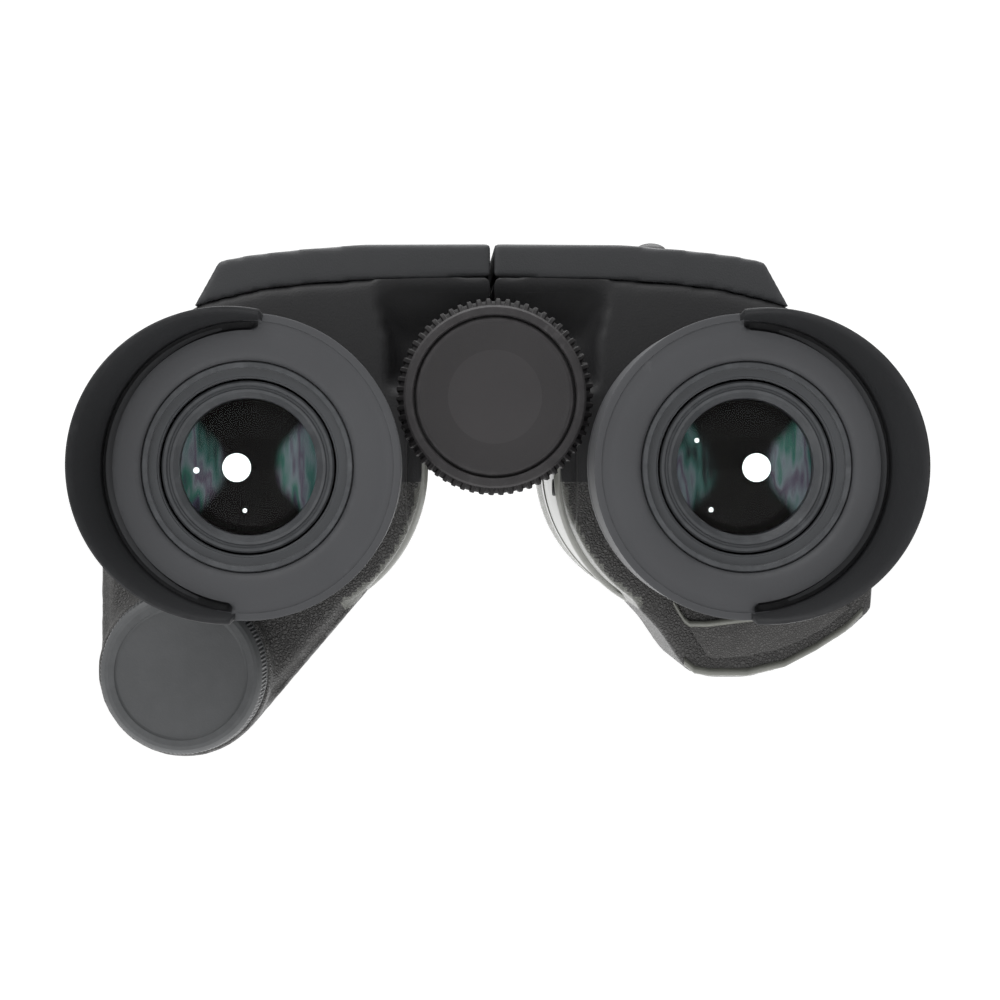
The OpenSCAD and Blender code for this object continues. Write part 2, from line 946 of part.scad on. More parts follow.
module gimbal_ring() {
  difference() {
    union() {
      at_axis()
        rod(gimbal_out_r, -gimbal_y - gimbal_l / 2, -gimbal_y + gimbal_l / 2);
      translate([axis_x - trunnion_reach, -gimbal_y, axis_z])
        rotate([0, 90, 0])
          cylinder(r = trunnion_r, h = 2 * trunnion_reach);
    }
    at_axis()
      rod(gimbal_in_r, -gimbal_y - gimbal_l, -gimbal_y + gimbal_l);
    translate([axis_x, -gimbal_y, axis_z - 30])
      cylinder(r = trunnion_r + run_gap, h = 60);
  }
}

module left_gimbal_ring() {
  color([0.65, 0.66, 0.68])
    left_side()
      gimbal_ring();
}

module right_gimbal_ring() {
  color([0.65, 0.66, 0.68])
    gimbal_ring();
}

prism_w = 20;
prism_h = 26;
prism_gap = 0.6;

module prism_cage() {
  difference() {
    union() {
      at_axis()
        rod(cage_r, -gimbal_y - cage_l / 2, -gimbal_y + cage_l / 2);
      translate([axis_x, -gimbal_y, axis_z - gimbal_out_r + 0.6])
        cylinder(r = trunnion_r, h = 2 * gimbal_out_r - 1.2);
    }
    translate([axis_x - prism_w / 2, -gimbal_y - cage_l / 2 - 1, axis_z - prism_h / 2])
      cube([prism_w, cage_l + 2, prism_h]);
  }
}

module left_prism_cage() {
  color([0.3, 0.3, 0.32])
    left_side()
      prism_cage();
}

module right_prism_cage() {
  color([0.3, 0.3, 0.32])
    prism_cage();
}

// Two wedges that together fill the cage's pocket
module prisms() {
  half = cage_l / 2 - 2;
  high = prism_h / 2;
  translate([axis_x, -gimbal_y, axis_z])
    rotate([0, 90, 0])
      linear_extrude(height = prism_w, center = true) {
        polygon([[high, -half], [high, half - prism_gap], [-high, -half + 6], [-high, -half]]);
        polygon([[high, half], [-high, half], [-high, -half + 6 + prism_gap], [high, half - 0.1]]);
      }
}

module left_prisms() {
  color([0.6, 0.75, 0.8, 0.4])
    left_side()
      prisms();
}

module right_prisms() {
  color([0.6, 0.75, 0.8, 0.4])
    prisms();
}

// ---- Battery ----

module at_pod() {
  translate([-pod_x, 0, -pod_drop])
    children();
}

module battery_liner() {
  color([0.75, 0.75, 0.75])
    at_pod()
      tube(cell_r + 0.4, liner_r, pod_y0 + mouth_l, pod_floor_y);
}

module battery_cell() {
  color([0.2, 0.35, 0.6])
    at_pod()
      rod(cell_r, cell_y0, cell_y1);
}

// A bent strip that presses on the cell's end
module battery_spring() {
  strip_t = 0.5;
  strip_w = 6;
  color([0.8, 0.8, 0.8])
    at_pod()
      translate([0, 0, -strip_w / 2])
        linear_extrude(height = strip_w)
          polygon([
            [-7, pod_floor_y],
            [7, pod_floor_y],
            [7, pod_floor_y - strip_t],
            [-4, pod_floor_y - strip_t],
            [2, cell_y1 + strip_t],
            [4, cell_y1 + 2],
            [4.5, cell_y1 + 2],
            [2.4, cell_y1],
            [1.6, cell_y1],
            [-5.6, pod_floor_y - strip_t],
            [-7, pod_floor_y - strip_t]
          ]);
}

module battery_contact() {
  color([0.85, 0.7, 0.4])
    at_pod()
      rod(cell_r - 1, pod_y0 - 0.35, pod_y0 + 0.6);
}

module battery_cap() {
  color([0.34, 0.35, 0.36])
    at_pod()
      difference() {
        union() {
          rod(cap_r, pod_y0 - cap_l, pod_y0 - side_gap);
          rod(cap_skirt_r, pod_y0 - side_gap - eps, pod_y0 + cap_skirt_l);
        }
        rod(cap_hollow_r, pod_y0 - 0.4, pod_y0 + cap_skirt_l + 1);
        tube(seal_in_r, seal_in_r + 1, seal_y, seal_y + seal_l);
      }
}

module battery_cap_seal() {
  color([0.1, 0.1, 0.1])
    at_pod()
      tube(seal_in_r, cap_skirt_r, seal_y, seal_y + seal_l);
}

// ---- Electrics ----

board_z = axis_z + barrel_r;
board_t = 1.2;

// A circuit board that lies on the barrel's crown, with its processor
module board() {
  x0 = axis_x - 20.3;
  x1 = axis_x + 3.7;
  translate([x0, -rear_wall_y + 8, board_z])
    cube([x1 - x0, 52, board_t]);
  translate([x0 + 6, -rear_wall_y + 24, board_z + board_t])
    cube([8, 8, 1.4]);
}

module left_board() {
  color([0.1, 0.35, 0.2])
    left_side()
      board();
}

// The right board also carries the power button's switch
module right_board() {
  switch_w = 5;
  color([0.1, 0.35, 0.2]) {
    board();
    translate([button_x - switch_w / 2, button_y - switch_w / 2, board_z + board_t])
      cube([switch_w, switch_w, 1.4]);
  }
}

button_y = -rear_wall_y + button_inset;
button_top = deck_top - 0.5 + button_proud;

module power_button() {
  color([0.16, 0.16, 0.17])
    translate([button_x, button_y, 0]) {
      translate([0, 0, seam_z])
        cylinder(r = button_r, h = button_top - seam_z);
      translate([0, 0, seam_z - 0.8])
        cylinder(r = button_r + 0.8, h = 1);
    }
}

// ---- Fasteners ----

screw_r = 0.8;
screw_head_r = 1.05;

// Four screws through the eyepiece tube's flange into the rear wall
module flange_screws() {
  at_axis()
    for (a = [45 : 90 : 315])
      rotate([0, a, 0])
        translate([eyepiece_r + 1.2, 0, 0]) {
          rod(screw_r, rear_face_y - tube_flange_t - eps, -rear_wall_y - 0.2);
          rod(screw_head_r, rear_face_y - tube_flange_t - 1, rear_face_y - tube_flange_t);
        }
}

module left_screws() {
  color([0.5, 0.5, 0.5])
    left_side()
      flange_screws();
}

module right_screws() {
  color([0.5, 0.5, 0.5])
    flange_screws();
}

left_body();
right_body();
left_top_cover();
right_top_cover();
left_front_barrel();
right_front_barrel();
left_grip();
right_grip();
left_objective_cell();
right_objective_cell();
left_objective_lens();
right_objective_lens();
left_objective_ring();
right_objective_ring();
left_eyepiece_tube();
right_eyepiece_tube();
left_field_lens();
right_field_lens();
left_eye_lens();
right_eye_lens();
left_eye_lens_ring();
right_eye_lens_ring();
left_board();
right_board();
left_screws();
right_screws();
hinge_bracket();
hinge_sleeve();
hinge_pin();
hinge_cover();
focus_knob();
focus_knob_cap();
focus_spindle();
focus_nut();
focus_nut_clip();
left_focus_carrier();
right_focus_carrier();
left_focus_lens();
right_focus_lens();
left_gimbal_ring();
right_gimbal_ring();
left_prism_cage();
right_prism_cage();
left_prisms();
right_prisms();
left_eyecup_slide();
right_eyecup_slide();
left_eyecup_sleeve();
right_eyecup_sleeve();
left_eyecup();
right_eyecup();
dioptre_ring();
dioptre_cell();
battery_liner();
battery_cell();
battery_spring();
battery_contact();
battery_cap();
battery_cap_seal();
power_button();
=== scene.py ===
import json
import math

import bmesh
import bpy
from mathutils import Matrix, Vector, noise


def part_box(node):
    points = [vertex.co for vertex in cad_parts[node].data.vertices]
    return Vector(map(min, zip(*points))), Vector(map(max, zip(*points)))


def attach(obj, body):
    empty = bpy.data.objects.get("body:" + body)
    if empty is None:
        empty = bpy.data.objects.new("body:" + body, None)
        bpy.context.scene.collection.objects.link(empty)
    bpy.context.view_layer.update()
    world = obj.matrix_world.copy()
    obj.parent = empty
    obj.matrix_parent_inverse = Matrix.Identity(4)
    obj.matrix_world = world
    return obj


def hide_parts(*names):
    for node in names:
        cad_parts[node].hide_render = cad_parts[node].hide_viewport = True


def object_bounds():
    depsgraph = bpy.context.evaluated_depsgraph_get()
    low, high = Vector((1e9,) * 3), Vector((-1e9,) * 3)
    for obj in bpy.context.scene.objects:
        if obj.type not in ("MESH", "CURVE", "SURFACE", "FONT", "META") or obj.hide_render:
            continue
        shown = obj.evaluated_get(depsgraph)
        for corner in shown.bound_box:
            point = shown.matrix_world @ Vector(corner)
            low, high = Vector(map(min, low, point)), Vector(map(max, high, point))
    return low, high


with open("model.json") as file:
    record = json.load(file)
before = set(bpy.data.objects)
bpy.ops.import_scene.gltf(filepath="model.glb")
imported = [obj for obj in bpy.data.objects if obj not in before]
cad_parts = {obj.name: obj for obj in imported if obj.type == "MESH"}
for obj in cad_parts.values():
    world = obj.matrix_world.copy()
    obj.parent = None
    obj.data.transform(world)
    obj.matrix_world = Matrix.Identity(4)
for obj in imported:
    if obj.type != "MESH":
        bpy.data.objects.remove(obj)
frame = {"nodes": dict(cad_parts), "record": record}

bl_info = {
    "name": "Stabilised Binoculars",
    "version": (1, 0, 0),
    "blender": (4, 5, 0),
    "location": "View3D > Sidebar > Binoculars",
    "description": "Builds the visible pieces of a pair of folding stabilised binoculars around their frame",
    "category": "Object",
}

CAD_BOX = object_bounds()
MM = 0.001
SIDES = (("left", -1), ("right", 1))


def node_centre(node):
    low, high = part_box(node)
    return (low + high) / 2


AXIS_X = abs(node_centre("right_objective_lens").x)
AXIS_Z = node_centre("right_objective_lens").z
RIM_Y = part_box("right_front_barrel")[1].y
BARREL_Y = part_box("right_front_barrel")[0].y
REAR_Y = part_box("right_top_cover")[0].y
EYE_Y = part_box("right_eyecup_sleeve")[0].y - 1.8 * MM
CUP_BACK_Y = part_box("right_eyecup")[1].y
KNOB_LOW, KNOB_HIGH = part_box("focus_knob")
CAP_LOW, CAP_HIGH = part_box("battery_cap")
POD = node_centre("battery_cap")
DIAL_LOW, DIAL_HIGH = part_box("dioptre_ring")
FULL_TURN = 2 * math.pi
CAMERA_PLACE = (-0.0098, -0.576, -0.0106)
CAMERA_DOWN = 0.61
CAMERA_ASIDE = 1.29
# Near-black of the painted shade inside the eye lenses
PAINTED_SHADE_BLACK = (0.003, 0.0025, 0.0025, 1)


# ---- Materials ----

def new_group(name, inputs, outputs):
    """An empty shader node group with named sockets, or the one already made."""
    group = bpy.data.node_groups.get(name)
    if group:
        return group, False
    group = bpy.data.node_groups.new(name, "ShaderNodeTree")
    for label, kind, value in inputs:
        socket = group.interface.new_socket(label, in_out="INPUT", socket_type=kind)
        if value is not None:
            socket.default_value = value
    for label, kind in outputs:
        group.interface.new_socket(label, in_out="OUTPUT", socket_type=kind)
    group.nodes.new("NodeGroupInput")
    group.nodes.new("NodeGroupOutput")
    return group, True


def link(tree, source, out, target, into):
    tree.links.new(source.outputs[out], target.inputs[into])


def add_node(tree, kind, **values):
    node = tree.nodes.new(kind)
    for key, value in values.items():
        setattr(node, key, value)
    return node


def math_node(tree, operation, first, second=None, clamp=False):
    """A Math node whose inputs are numbers or (node, output) pairs."""
    node = add_node(tree, "ShaderNodeMath", operation=operation, use_clamp=clamp)
    for index, value in enumerate((first, second)):
        if value is None:
            continue
        if isinstance(value, tuple):
            tree.links.new(value[0].outputs[value[1]], node.inputs[index])
        else:
            node.inputs[index].default_value = value
    return node


def range_node(tree, source, out, low, high, smooth=False):
    """A Map Range node from low..high to 0..1, fed by one output."""
    node = add_node(tree, "ShaderNodeMapRange")
    node.interpolation_type = "SMOOTHSTEP" if smooth else "LINEAR"
    link(tree, source, out, node, "Value")
    node.inputs["From Min"].default_value = low
    node.inputs["From Max"].default_value = high
    return node


def noise_node(tree, source, scale, detail=3.0, roughness=0.5):
    node = add_node(tree, "ShaderNodeTexNoise")
    node.inputs["Scale"].default_value = scale
    node.inputs["Detail"].default_value = detail
    node.inputs["Roughness"].default_value = roughness
    link(tree, source, 0, node, "Vector")
    return node


def grain_group():
    """Pebbled leather-like grain: a height and a mask of the pits."""
    group, fresh = new_group(
        "Pebble Grain",
        [("Vector", "NodeSocketVector", None), ("Scale", "NodeSocketFloat", 900.0)],
        [("Height", "NodeSocketFloat"), ("Pits", "NodeSocketFloat")])
    if not fresh:
        return group
    start = group.nodes["Group Input"]
    end = group.nodes["Group Output"]
    warp = add_node(group, "ShaderNodeTexNoise")
    warp.inputs["Scale"].default_value = 600.0
    link(group, start, "Vector", warp, "Vector")
    shift = add_node(group, "ShaderNodeVectorMath", operation="MULTIPLY_ADD")
    link(group, warp, "Color", shift, 0)
    shift.inputs[1].default_value = (0.0012, 0.0012, 0.0012)
    link(group, start, "Vector", shift, 2)
    cells = add_node(group, "ShaderNodeTexVoronoi", feature="DISTANCE_TO_EDGE")
    link(group, shift, 0, cells, "Vector")
    link(group, start, "Scale", cells, "Scale")
    bumps = range_node(group, cells, "Distance", 0.0, 0.28, True)
    fine = add_node(group, "ShaderNodeTexNoise")
    fine.inputs["Scale"].default_value = 4200.0
    link(group, start, "Vector", fine, "Vector")
    mixed = math_node(group, "MULTIPLY_ADD", (fine, 0), 0.25)
    link(group, bumps, 0, mixed, 2)
    link(group, mixed, 0, end, "Height")
    pits = math_node(group, "SUBTRACT", 1.0, (bumps, 0), clamp=True)
    link(group, pits, 0, end, "Pits")
    return group


def texture_group():
    """Fine moulded texture: a height and slow patches of shade."""
    group, fresh = new_group(
        "Moulded Texture",
        [("Vector", "NodeSocketVector", None), ("Scale", "NodeSocketFloat", 2600.0)],
        [("Height", "NodeSocketFloat"), ("Patches", "NodeSocketFloat")])
    if not fresh:
        return group
    start = group.nodes["Group Input"]
    end = group.nodes["Group Output"]
    fine = add_node(group, "ShaderNodeTexNoise")
    fine.inputs["Detail"].default_value = 2.0
    link(group, start, "Vector", fine, "Vector")
    link(group, start, "Scale", fine, "Scale")
    link(group, fine, 0, end, "Height")
    slow = add_node(group, "ShaderNodeTexNoise")
    slow.inputs["Scale"].default_value = 55.0
    slow.inputs["Detail"].default_value = 4.0
    link(group, start, "Vector", slow, "Vector")
    link(group, slow, 0, end, "Patches")
    return group


def wear_group():
    """Edge wear: a mask that is 1 on worn outer edges, and one of dust in the hollows."""
    group, fresh = new_group(
        "Edge Wear",
        [("Vector", "NodeSocketVector", None), ("Amount", "NodeSocketFloat", 0.5)],
        [("Worn", "NodeSocketFloat"), ("Dust", "NodeSocketFloat")])
    if not fresh:
        return group
    start = group.nodes["Group Input"]
    end = group.nodes["Group Output"]
    shape = add_node(group, "ShaderNodeNewGeometry")
    edge = range_node(group, shape, "Pointiness", 0.515, 0.58)
    breaks = noise_node(group, start, 420.0, 5.0, 0.65)
    rough = range_node(group, breaks, 0, 0.42, 0.68)
    both = math_node(group, "MULTIPLY", (edge, 0), (rough, 0))
    worn = add_node(group, "ShaderNodeMath", operation="MULTIPLY", use_clamp=True)
    link(group, both, 0, worn, 0)
    link(group, start, "Amount", worn, 1)
    link(group, worn, 0, end, "Worn")
    hollow = range_node(group, shape, "Pointiness", 0.49, 0.42)
    dust = math_node(group, "MULTIPLY", (hollow, 0), (rough, 0), clamp=True)
    link(group, dust, 0, end, "Dust")
    return group


def moulded(name, colour, rough, grain=0.0, grain_scale=900.0, fine=0.12, fine_scale=2600.0,
            wear=0.3, metal=0.0, specular=0.22, contrast=0.16):
    """A Principled material with fine texture, pebble grain with painted shade in its pits, patches, dust and
    worn edges.
    """
    material = bpy.data.materials.get(name)
    if material:
        return material
    material = bpy.data.materials.new(name)
    material.use_nodes = True
    tree = material.node_tree
    shader = tree.nodes["Principled BSDF"]
    shader.inputs["Metallic"].default_value = metal
    shader.inputs["Specular IOR Level"].default_value = specular
    place = add_node(tree, "ShaderNodeTexCoord")
    texture = add_node(tree, "ShaderNodeGroup", node_tree=texture_group())
    link(tree, place, "Object", texture, "Vector")
    texture.inputs["Scale"].default_value = fine_scale
    worn = add_node(tree, "ShaderNodeGroup", node_tree=wear_group())
    link(tree, place, "Object", worn, "Vector")
    worn.inputs["Amount"].default_value = wear
    darker = tuple(c * (1 - contrast) for c in colour[:3]) + (1.0,)
    lighter = tuple(min(1.0, c * (1 + contrast)) for c in colour[:3]) + (1.0,)
    patches = add_node(tree, "ShaderNodeMix", data_type="RGBA")
    link(tree, texture, "Patches", patches, "Factor")
    patches.inputs[6].default_value = darker
    patches.inputs[7].default_value = lighter
    edge = add_node(tree, "ShaderNodeMix", data_type="RGBA")
    link(tree, worn, "Worn", edge, "Factor")
    link(tree, patches, 2, edge, 6)
    edge.inputs[7].default_value = tuple(min(1.0, c * 2.2 + 0.03) for c in colour[:3]) + (1.0,)
    dusty = add_node(tree, "ShaderNodeMix", data_type="RGBA")
    dust = math_node(tree, "MULTIPLY", (worn, "Dust"), 0.25)
    link(tree, dust, 0, dusty, "Factor")
    link(tree, edge, 2, dusty, 6)
    dusty.inputs[7].default_value = tuple(min(1.0, c * 1.5 + 0.02) for c in colour[:3]) + (1.0,)
    colour_out = (dusty, 2)
    roughness = math_node(tree, "MULTIPLY_ADD", (texture, "Patches"), 0.16)
    roughness.inputs[2].default_value = rough - 0.08
    height = math_node(tree, "MULTIPLY", (texture, "Height"), fine)
    if grain:
        pebbles = add_node(tree, "ShaderNodeGroup", node_tree=grain_group())
        link(tree, place, "Object", pebbles, "Vector")
        pebbles.inputs["Scale"].default_value = grain_scale
        total = math_node(tree, "MULTIPLY_ADD", (pebbles, "Height"), grain)
        link(tree, height, 0, total, 2)
        height = total
        # Painted shade: the grain's pits are darkened in the colour
        pit_shade = add_node(tree, "ShaderNodeMix", data_type="RGBA")
        amount = math_node(tree, "MULTIPLY", (pebbles, "Pits"), 0.5)
        link(tree, amount, 0, pit_shade, "Factor")
        link(tree, dusty, 2, pit_shade, 6)
        pit_shade.inputs[7].default_value = tuple(c * 0.3 for c in colour[:3]) + (1.0,)
        colour_out = (pit_shade, 2)
    bump = add_node(tree, "ShaderNodeBump")
    bump.inputs["Strength"].default_value = 0.6
    bump.inputs["Distance"].default_value = 0.0004
    link(tree, height, 0, bump, "Height")
    link(tree, bump, 0, shader, "Normal")
    link(tree, roughness, 0, shader, "Roughness")
    tree.links.new(colour_out[0].outputs[colour_out[1]], shader.inputs["Base Color"])
    return material


def glass(name, tint):
    """Clear optical glass with a faint tint and fine dust on it."""
    material = bpy.data.materials.get(name)
    if material:
        return material
    material = bpy.data.materials.new(name)
    material.use_nodes = True
    tree = material.node_tree
    shader = tree.nodes["Principled BSDF"]
    shader.inputs["Transmission Weight"].default_value = 1.0
    shader.inputs["IOR"].default_value = 1.16
    place = add_node(tree, "ShaderNodeTexCoord")
    dust = noise_node(tree, place, 900.0, 6.0, 0.7)
    spots = range_node(tree, dust, 0, 0.74, 0.86)
    spots.inputs["To Min"].default_value = 0.0
    spots.inputs["To Max"].default_value = 0.2
    link(tree, spots, 0, shader, "Roughness")
    colour = add_node(tree, "ShaderNodeMix", data_type="RGBA")
    link(tree, dust, 0, colour, "Factor")
    colour.inputs[6].default_value = tint
    colour.inputs[7].default_value = tuple(0.9 * c for c in tint[:3]) + (1.0,)
    link(tree, colour, 2, shader, "Base Color")
    return material


def ramp(tree, stops):
    node = add_node(tree, "ShaderNodeValToRGB")
    elements = node.color_ramp.elements
    while len(elements) < len(stops):
        elements.new(0.5)
    for element, (place, colour) in zip(elements, stops):
        element.position = place
        element.color = colour
    return node


def reflections(name, centre, seed):
    """Dark lens interior with uneven coating reflections in its two sides: the near-black is painted shade,
    the coloured patches are painted reflections that glow by emission.
    """
    material = bpy.data.materials.new(name)
    material.use_nodes = True
    tree = material.node_tree
    shader = tree.nodes["Principled BSDF"]
    shader.inputs["Roughness"].default_value = 0.6
    shader.inputs["Specular IOR Level"].default_value = 0.0
    place = add_node(tree, "ShaderNodeTexCoord")
    centred = add_node(tree, "ShaderNodeMapping")
    centred.inputs["Location"].default_value = (-centre[0], seed * MM, -centre[1])
    link(tree, place, "Object", centred, "Vector")
    parts = add_node(tree, "ShaderNodeSeparateXYZ")
    link(tree, centred, 0, parts, 0)
    stretch = add_node(tree, "ShaderNodeMapping")
    stretch.inputs["Scale"].default_value = (1.9, 1.0, 0.45)
    link(tree, centred, 0, stretch, "Vector")
    patches = noise_node(tree, stretch, 150.0, 2.5, 0.5)
    spread = range_node(tree, patches, 0, 0.28, 0.72)
    # Painted reflections: the coating colours of the glowing patches
    colours = ramp(tree, [
        (0.0, PAINTED_SHADE_BLACK), (0.2, (0.01, 0.012, 0.013, 1)), (0.32, (0.025, 0.06, 0.055, 1)),
        (0.44, (0.07, 0.085, 0.095, 1)), (0.54, (0.055, 0.04, 0.06, 1)), (0.64, (0.1, 0.11, 0.125, 1)),
        (0.76, (0.025, 0.075, 0.06, 1)), (0.88, (0.035, 0.03, 0.05, 1)), (1.0, PAINTED_SHADE_BLACK)])
    link(tree, spread, 0, colours, 0)
    side = math_node(tree, "ABSOLUTE", (parts, "X"))
    height = math_node(tree, "ABSOLUTE", (parts, "Z"))
    slope = math_node(tree, "MULTIPLY", (height, 0), 0.95)
    width = math_node(tree, "SUBTRACT", (side, 0), (slope, 0))
    wedge = range_node(tree, width, 0, 0.0004, 0.0032, True)
    reach = range_node(tree, side, 0, 0.0032, 0.0052, True)
    share = math_node(tree, "MULTIPLY", (wedge, 0), (reach, 0))
    colour = add_node(tree, "ShaderNodeMix", data_type="RGBA")
    link(tree, share, 0, colour, "Factor")
    colour.inputs[6].default_value = PAINTED_SHADE_BLACK
    link(tree, colours, 0, colour, 7)
    link(tree, colour, 2, shader, "Base Color")
    link(tree, colour, 2, shader, "Emission Color")
    shader.inputs["Emission Strength"].default_value = 0.6
    return material


def pupil_light_and_glints():
    """Painted light: a glowing disc for the light that the eyepiece throws back, also used for the small
    painted glints on the eye lens.
    """
    material = bpy.data.materials.get("Glowing Pupil and Glints")
    if material:
        return material
    material = bpy.data.materials.new("Glowing Pupil and Glints")
    material.use_nodes = True
    tree = material.node_tree
    shader = tree.nodes["Principled BSDF"]
    place = add_node(tree, "ShaderNodeTexCoord")
    soft = noise_node(tree, place, 300.0, 2.0, 0.5)
    colour = add_node(tree, "ShaderNodeMix", data_type="RGBA")
    link(tree, soft, 0, colour, "Factor")
    colour.inputs[6].default_value = (0.92, 0.95, 0.96, 1)
    colour.inputs[7].default_value = (1, 1, 1, 1)
    link(tree, colour, 2, shader, "Base Color")
    link(tree, colour, 2, shader, "Emission Color")
    shader.inputs["Emission Strength"].default_value = 1.3
    return material


# ---- Shared shape helpers ----

def profile_spin(points, centre, steps=128):
    """Spins a closed outline of (radius, y) points, given in mm, round an axis along Y through centre."""
    bm = bmesh.new()
    x, z = centre
    verts = [bm.verts.new((x + r * MM, y * MM, z)) for r, y in points]
    edges = [bm.edges.new(pair) for pair in zip(verts, verts[1:] + verts[:1])]
    bmesh.ops.spin(bm, geom=verts + edges, cent=(x, 0, z), axis=(0, -1, 0), angle=FULL_TURN, steps=steps,
                   use_merge=True, use_duplicate=False)
    bmesh.ops.remove_doubles(bm, verts=bm.verts, dist=1e-7)
    bmesh.ops.recalc_face_normals(bm, faces=bm.faces)
    return bm


def soften(bm, width, segments=2, limit=25.0):
    """Bevels every edge that is sharper than limit degrees."""
    sharp = [e for e in bm.edges if len(e.link_faces) == 2 and e.calc_face_angle(0) > math.radians(limit)]
    if sharp:
        bmesh.ops.bevel(bm, geom=sharp, offset=width * MM, segments=segments, profile=0.5, affect="EDGES",
                        material=-1, clamp_overlap=True, loop_slide=True)


def join_into(bm, other):
    """Adds the faces of another bmesh to bm."""
    mesh = bpy.data.meshes.new("joined")
    other.to_mesh(mesh)
    other.free()
    bm.from_mesh(mesh)
    bpy.data.meshes.remove(mesh)


def place_piece(name, bm, body, materials, replaced=(), sharp=38.0):
    """Turns a bmesh into a finished piece that rides on a body."""
    mesh = bpy.data.meshes.new(name)
    bm.to_mesh(mesh)
    bm.free()
    mesh.shade_smooth()
    mesh.set_sharp_from_angle(angle=math.radians(sharp))
    piece = bpy.data.objects.new(name, mesh)
    bpy.context.scene.collection.objects.link(piece)
    for material in materials if isinstance(materials, (list, tuple)) else [materials]:
        mesh.materials.append(material)
    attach(piece, body)
    if replaced:
        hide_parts(*replaced)
    return piece


def node_copy(*nodes):
    """A merged copy of CAD nodes' meshes."""
    bm = bmesh.new()
    for node in nodes:
        bm.from_mesh(frame["nodes"][node].data)
    bmesh.ops.remove_doubles(bm, verts=bm.verts, dist=1e-6)
    return bm


def remoulded(bm, voxel, rounds):
    """The shape remeshed at an even voxel size and smoothed, so that its edges come out rounded."""
    mesh = bpy.data.meshes.new("mould")
    bm.to_mesh(mesh)
    bm.free()
    mould = bpy.data.objects.new("mould", mesh)
    bpy.context.scene.collection.objects.link(mould)
    remesh = mould.modifiers.new("Remesh", "REMESH")
    remesh.mode = "VOXEL"
    remesh.voxel_size = voxel * MM
    evaluated = mould.evaluated_get(bpy.context.evaluated_depsgraph_get())
    result = bmesh.new()
    result.from_mesh(evaluated.to_mesh())
    evaluated.to_mesh_clear()
    bpy.data.objects.remove(mould)
    bpy.data.meshes.remove(mesh)
    for _ in range(rounds):
        relax(result, 0.5)
    return result


def relax(bm, factor):
    """One round of smoothing over the whole shape."""
    bmesh.ops.smooth_vert(bm, verts=bm.verts, factor=factor, use_axis_x=True, use_axis_y=True,
                          use_axis_z=True)


def polar(vert, centre):
    dx = vert.co.x - centre[0]
    dz = vert.co.z - centre[1]
    return math.hypot(dx, dz), math.atan2(dz, dx)


def set_polar(vert, centre, radius, angle):
    vert.co.x = centre[0] + radius * math.cos(angle)
    vert.co.z = centre[1] + radius * math.sin(angle)


def knurl(bm, centre, teeth, depth, y_low, y_high, r_low, duty=0.5):
    """Cuts teeth into the rim between two stations, by moving its vertices inwards."""
    for vert in bm.verts:
        radius, angle = polar(vert, centre)
        if radius > r_low * MM and y_low * MM < vert.co.y < y_high * MM:
            phase = (angle * teeth / FULL_TURN) % 1.0
            if phase > duty:
                set_polar(vert, centre, radius - depth * MM, angle)


def smoothstep(low, high, value):
    t = min(1.0, max(0.0, (value - low) / (high - low)))
    return t * t * (3 - 2 * t)


# ---- Housings ----

def carve_saddle(bm):
    """Shapes the wall between the bosses: flush at the seam, receding behind the focus wheel."""
    bm.normal_update()
    for vert in bm.verts:
        across = abs(vert.co.x) / MM
        height = vert.co.z / MM
        depth = (vert.co.y - REAR_Y) / MM
        edge = 16.4 + 2.4 * smoothstep(7.0, 19.5, height)
        if across > edge or not -0.7 < depth < 7.4 or not 1.0 < height < 19.3:
            continue
        inside = min(1.0, (edge - across) / 6.5)
        fall = smoothstep(19.0, 9.0, height) * smoothstep(1.0, 4.0, height)
        wanted = 6.2 * fall * math.sqrt(1 - (1 - inside) ** 2)
        if vert.normal.y > 0.3 and depth > 1.0:
            vert.co.y = max(vert.co.y, REAR_Y + (wanted + 1.2) * MM)
        else:
            vert.co.y = REAR_Y + wanted * MM


def housing_piece(side, settings):
    """A housing with its grip's shape closed in, so that no gap shows under the grip's skin."""
    body = f"{side}_body"
    bm = remoulded(node_copy(body, f"{side}_grip"), settings.voxel * 0.75 / MM, 2)
    carve_saddle(bm)
    centre = (AXIS_X if side == "right" else -AXIS_X, AXIS_Z)
    inwards = -1 if side == "right" else 1
    # Edge of the band of painted light on the lower inner side of each barrel
    lit_band_end = math.radians(60)
    across_lit_band = (inwards * math.sin(lit_band_end), 0, math.cos(lit_band_end))
    borders = [((0, 0, 4.5 * MM), (0, 0, 1)), ((0, 0, -13 * MM), (0, 0, 1)),
               ((centre[0] + inwards * -5 * MM, 0, 0), (1, 0, 0)), ((centre[0], 0, centre[1]), across_lit_band)]
    relax(bm, 0.4)
    for point, normal in borders:
        bmesh.ops.bisect_plane(bm, geom=bm.verts[:] + bm.edges[:] + bm.faces[:], dist=1e-7, plane_co=point,
                               plane_no=normal)
    materials = [housing_material(settings), grained_material(settings), lit_side_grain(settings)]
    piece = place_piece(f"{side}_housing", bm, f"{side}_half", materials, (body,), 60.0)
    for face in piece.data.polygons:
        middle = face.center / MM
        aside = inwards * (middle.x - centre[0] / MM)
        drop = centre[1] / MM - middle.z
        # Painted light: grained faces in that band get a lighter copy of the grain
        on_barrel = 24.5 < math.hypot(aside, drop) < 26.8
        in_lit_band = drop < aside * math.tan(lit_band_end) and middle.z < -13.0
        if on_barrel and in_lit_band:
            face.material_index = 2
        elif middle.z < 4.5 and (aside < -5.0 or middle.z < -13.0):
            face.material_index = 1
    return piece


def cover_piece(side, settings):
    node = f"{side}_top_cover"
    bm = remoulded(node_copy(node), settings.voxel * 0.55 / MM, 1)
    return place_piece(f"{side}_deck_cover", bm, f"{side}_half", cover_material(settings), (node,),
                       60.0)


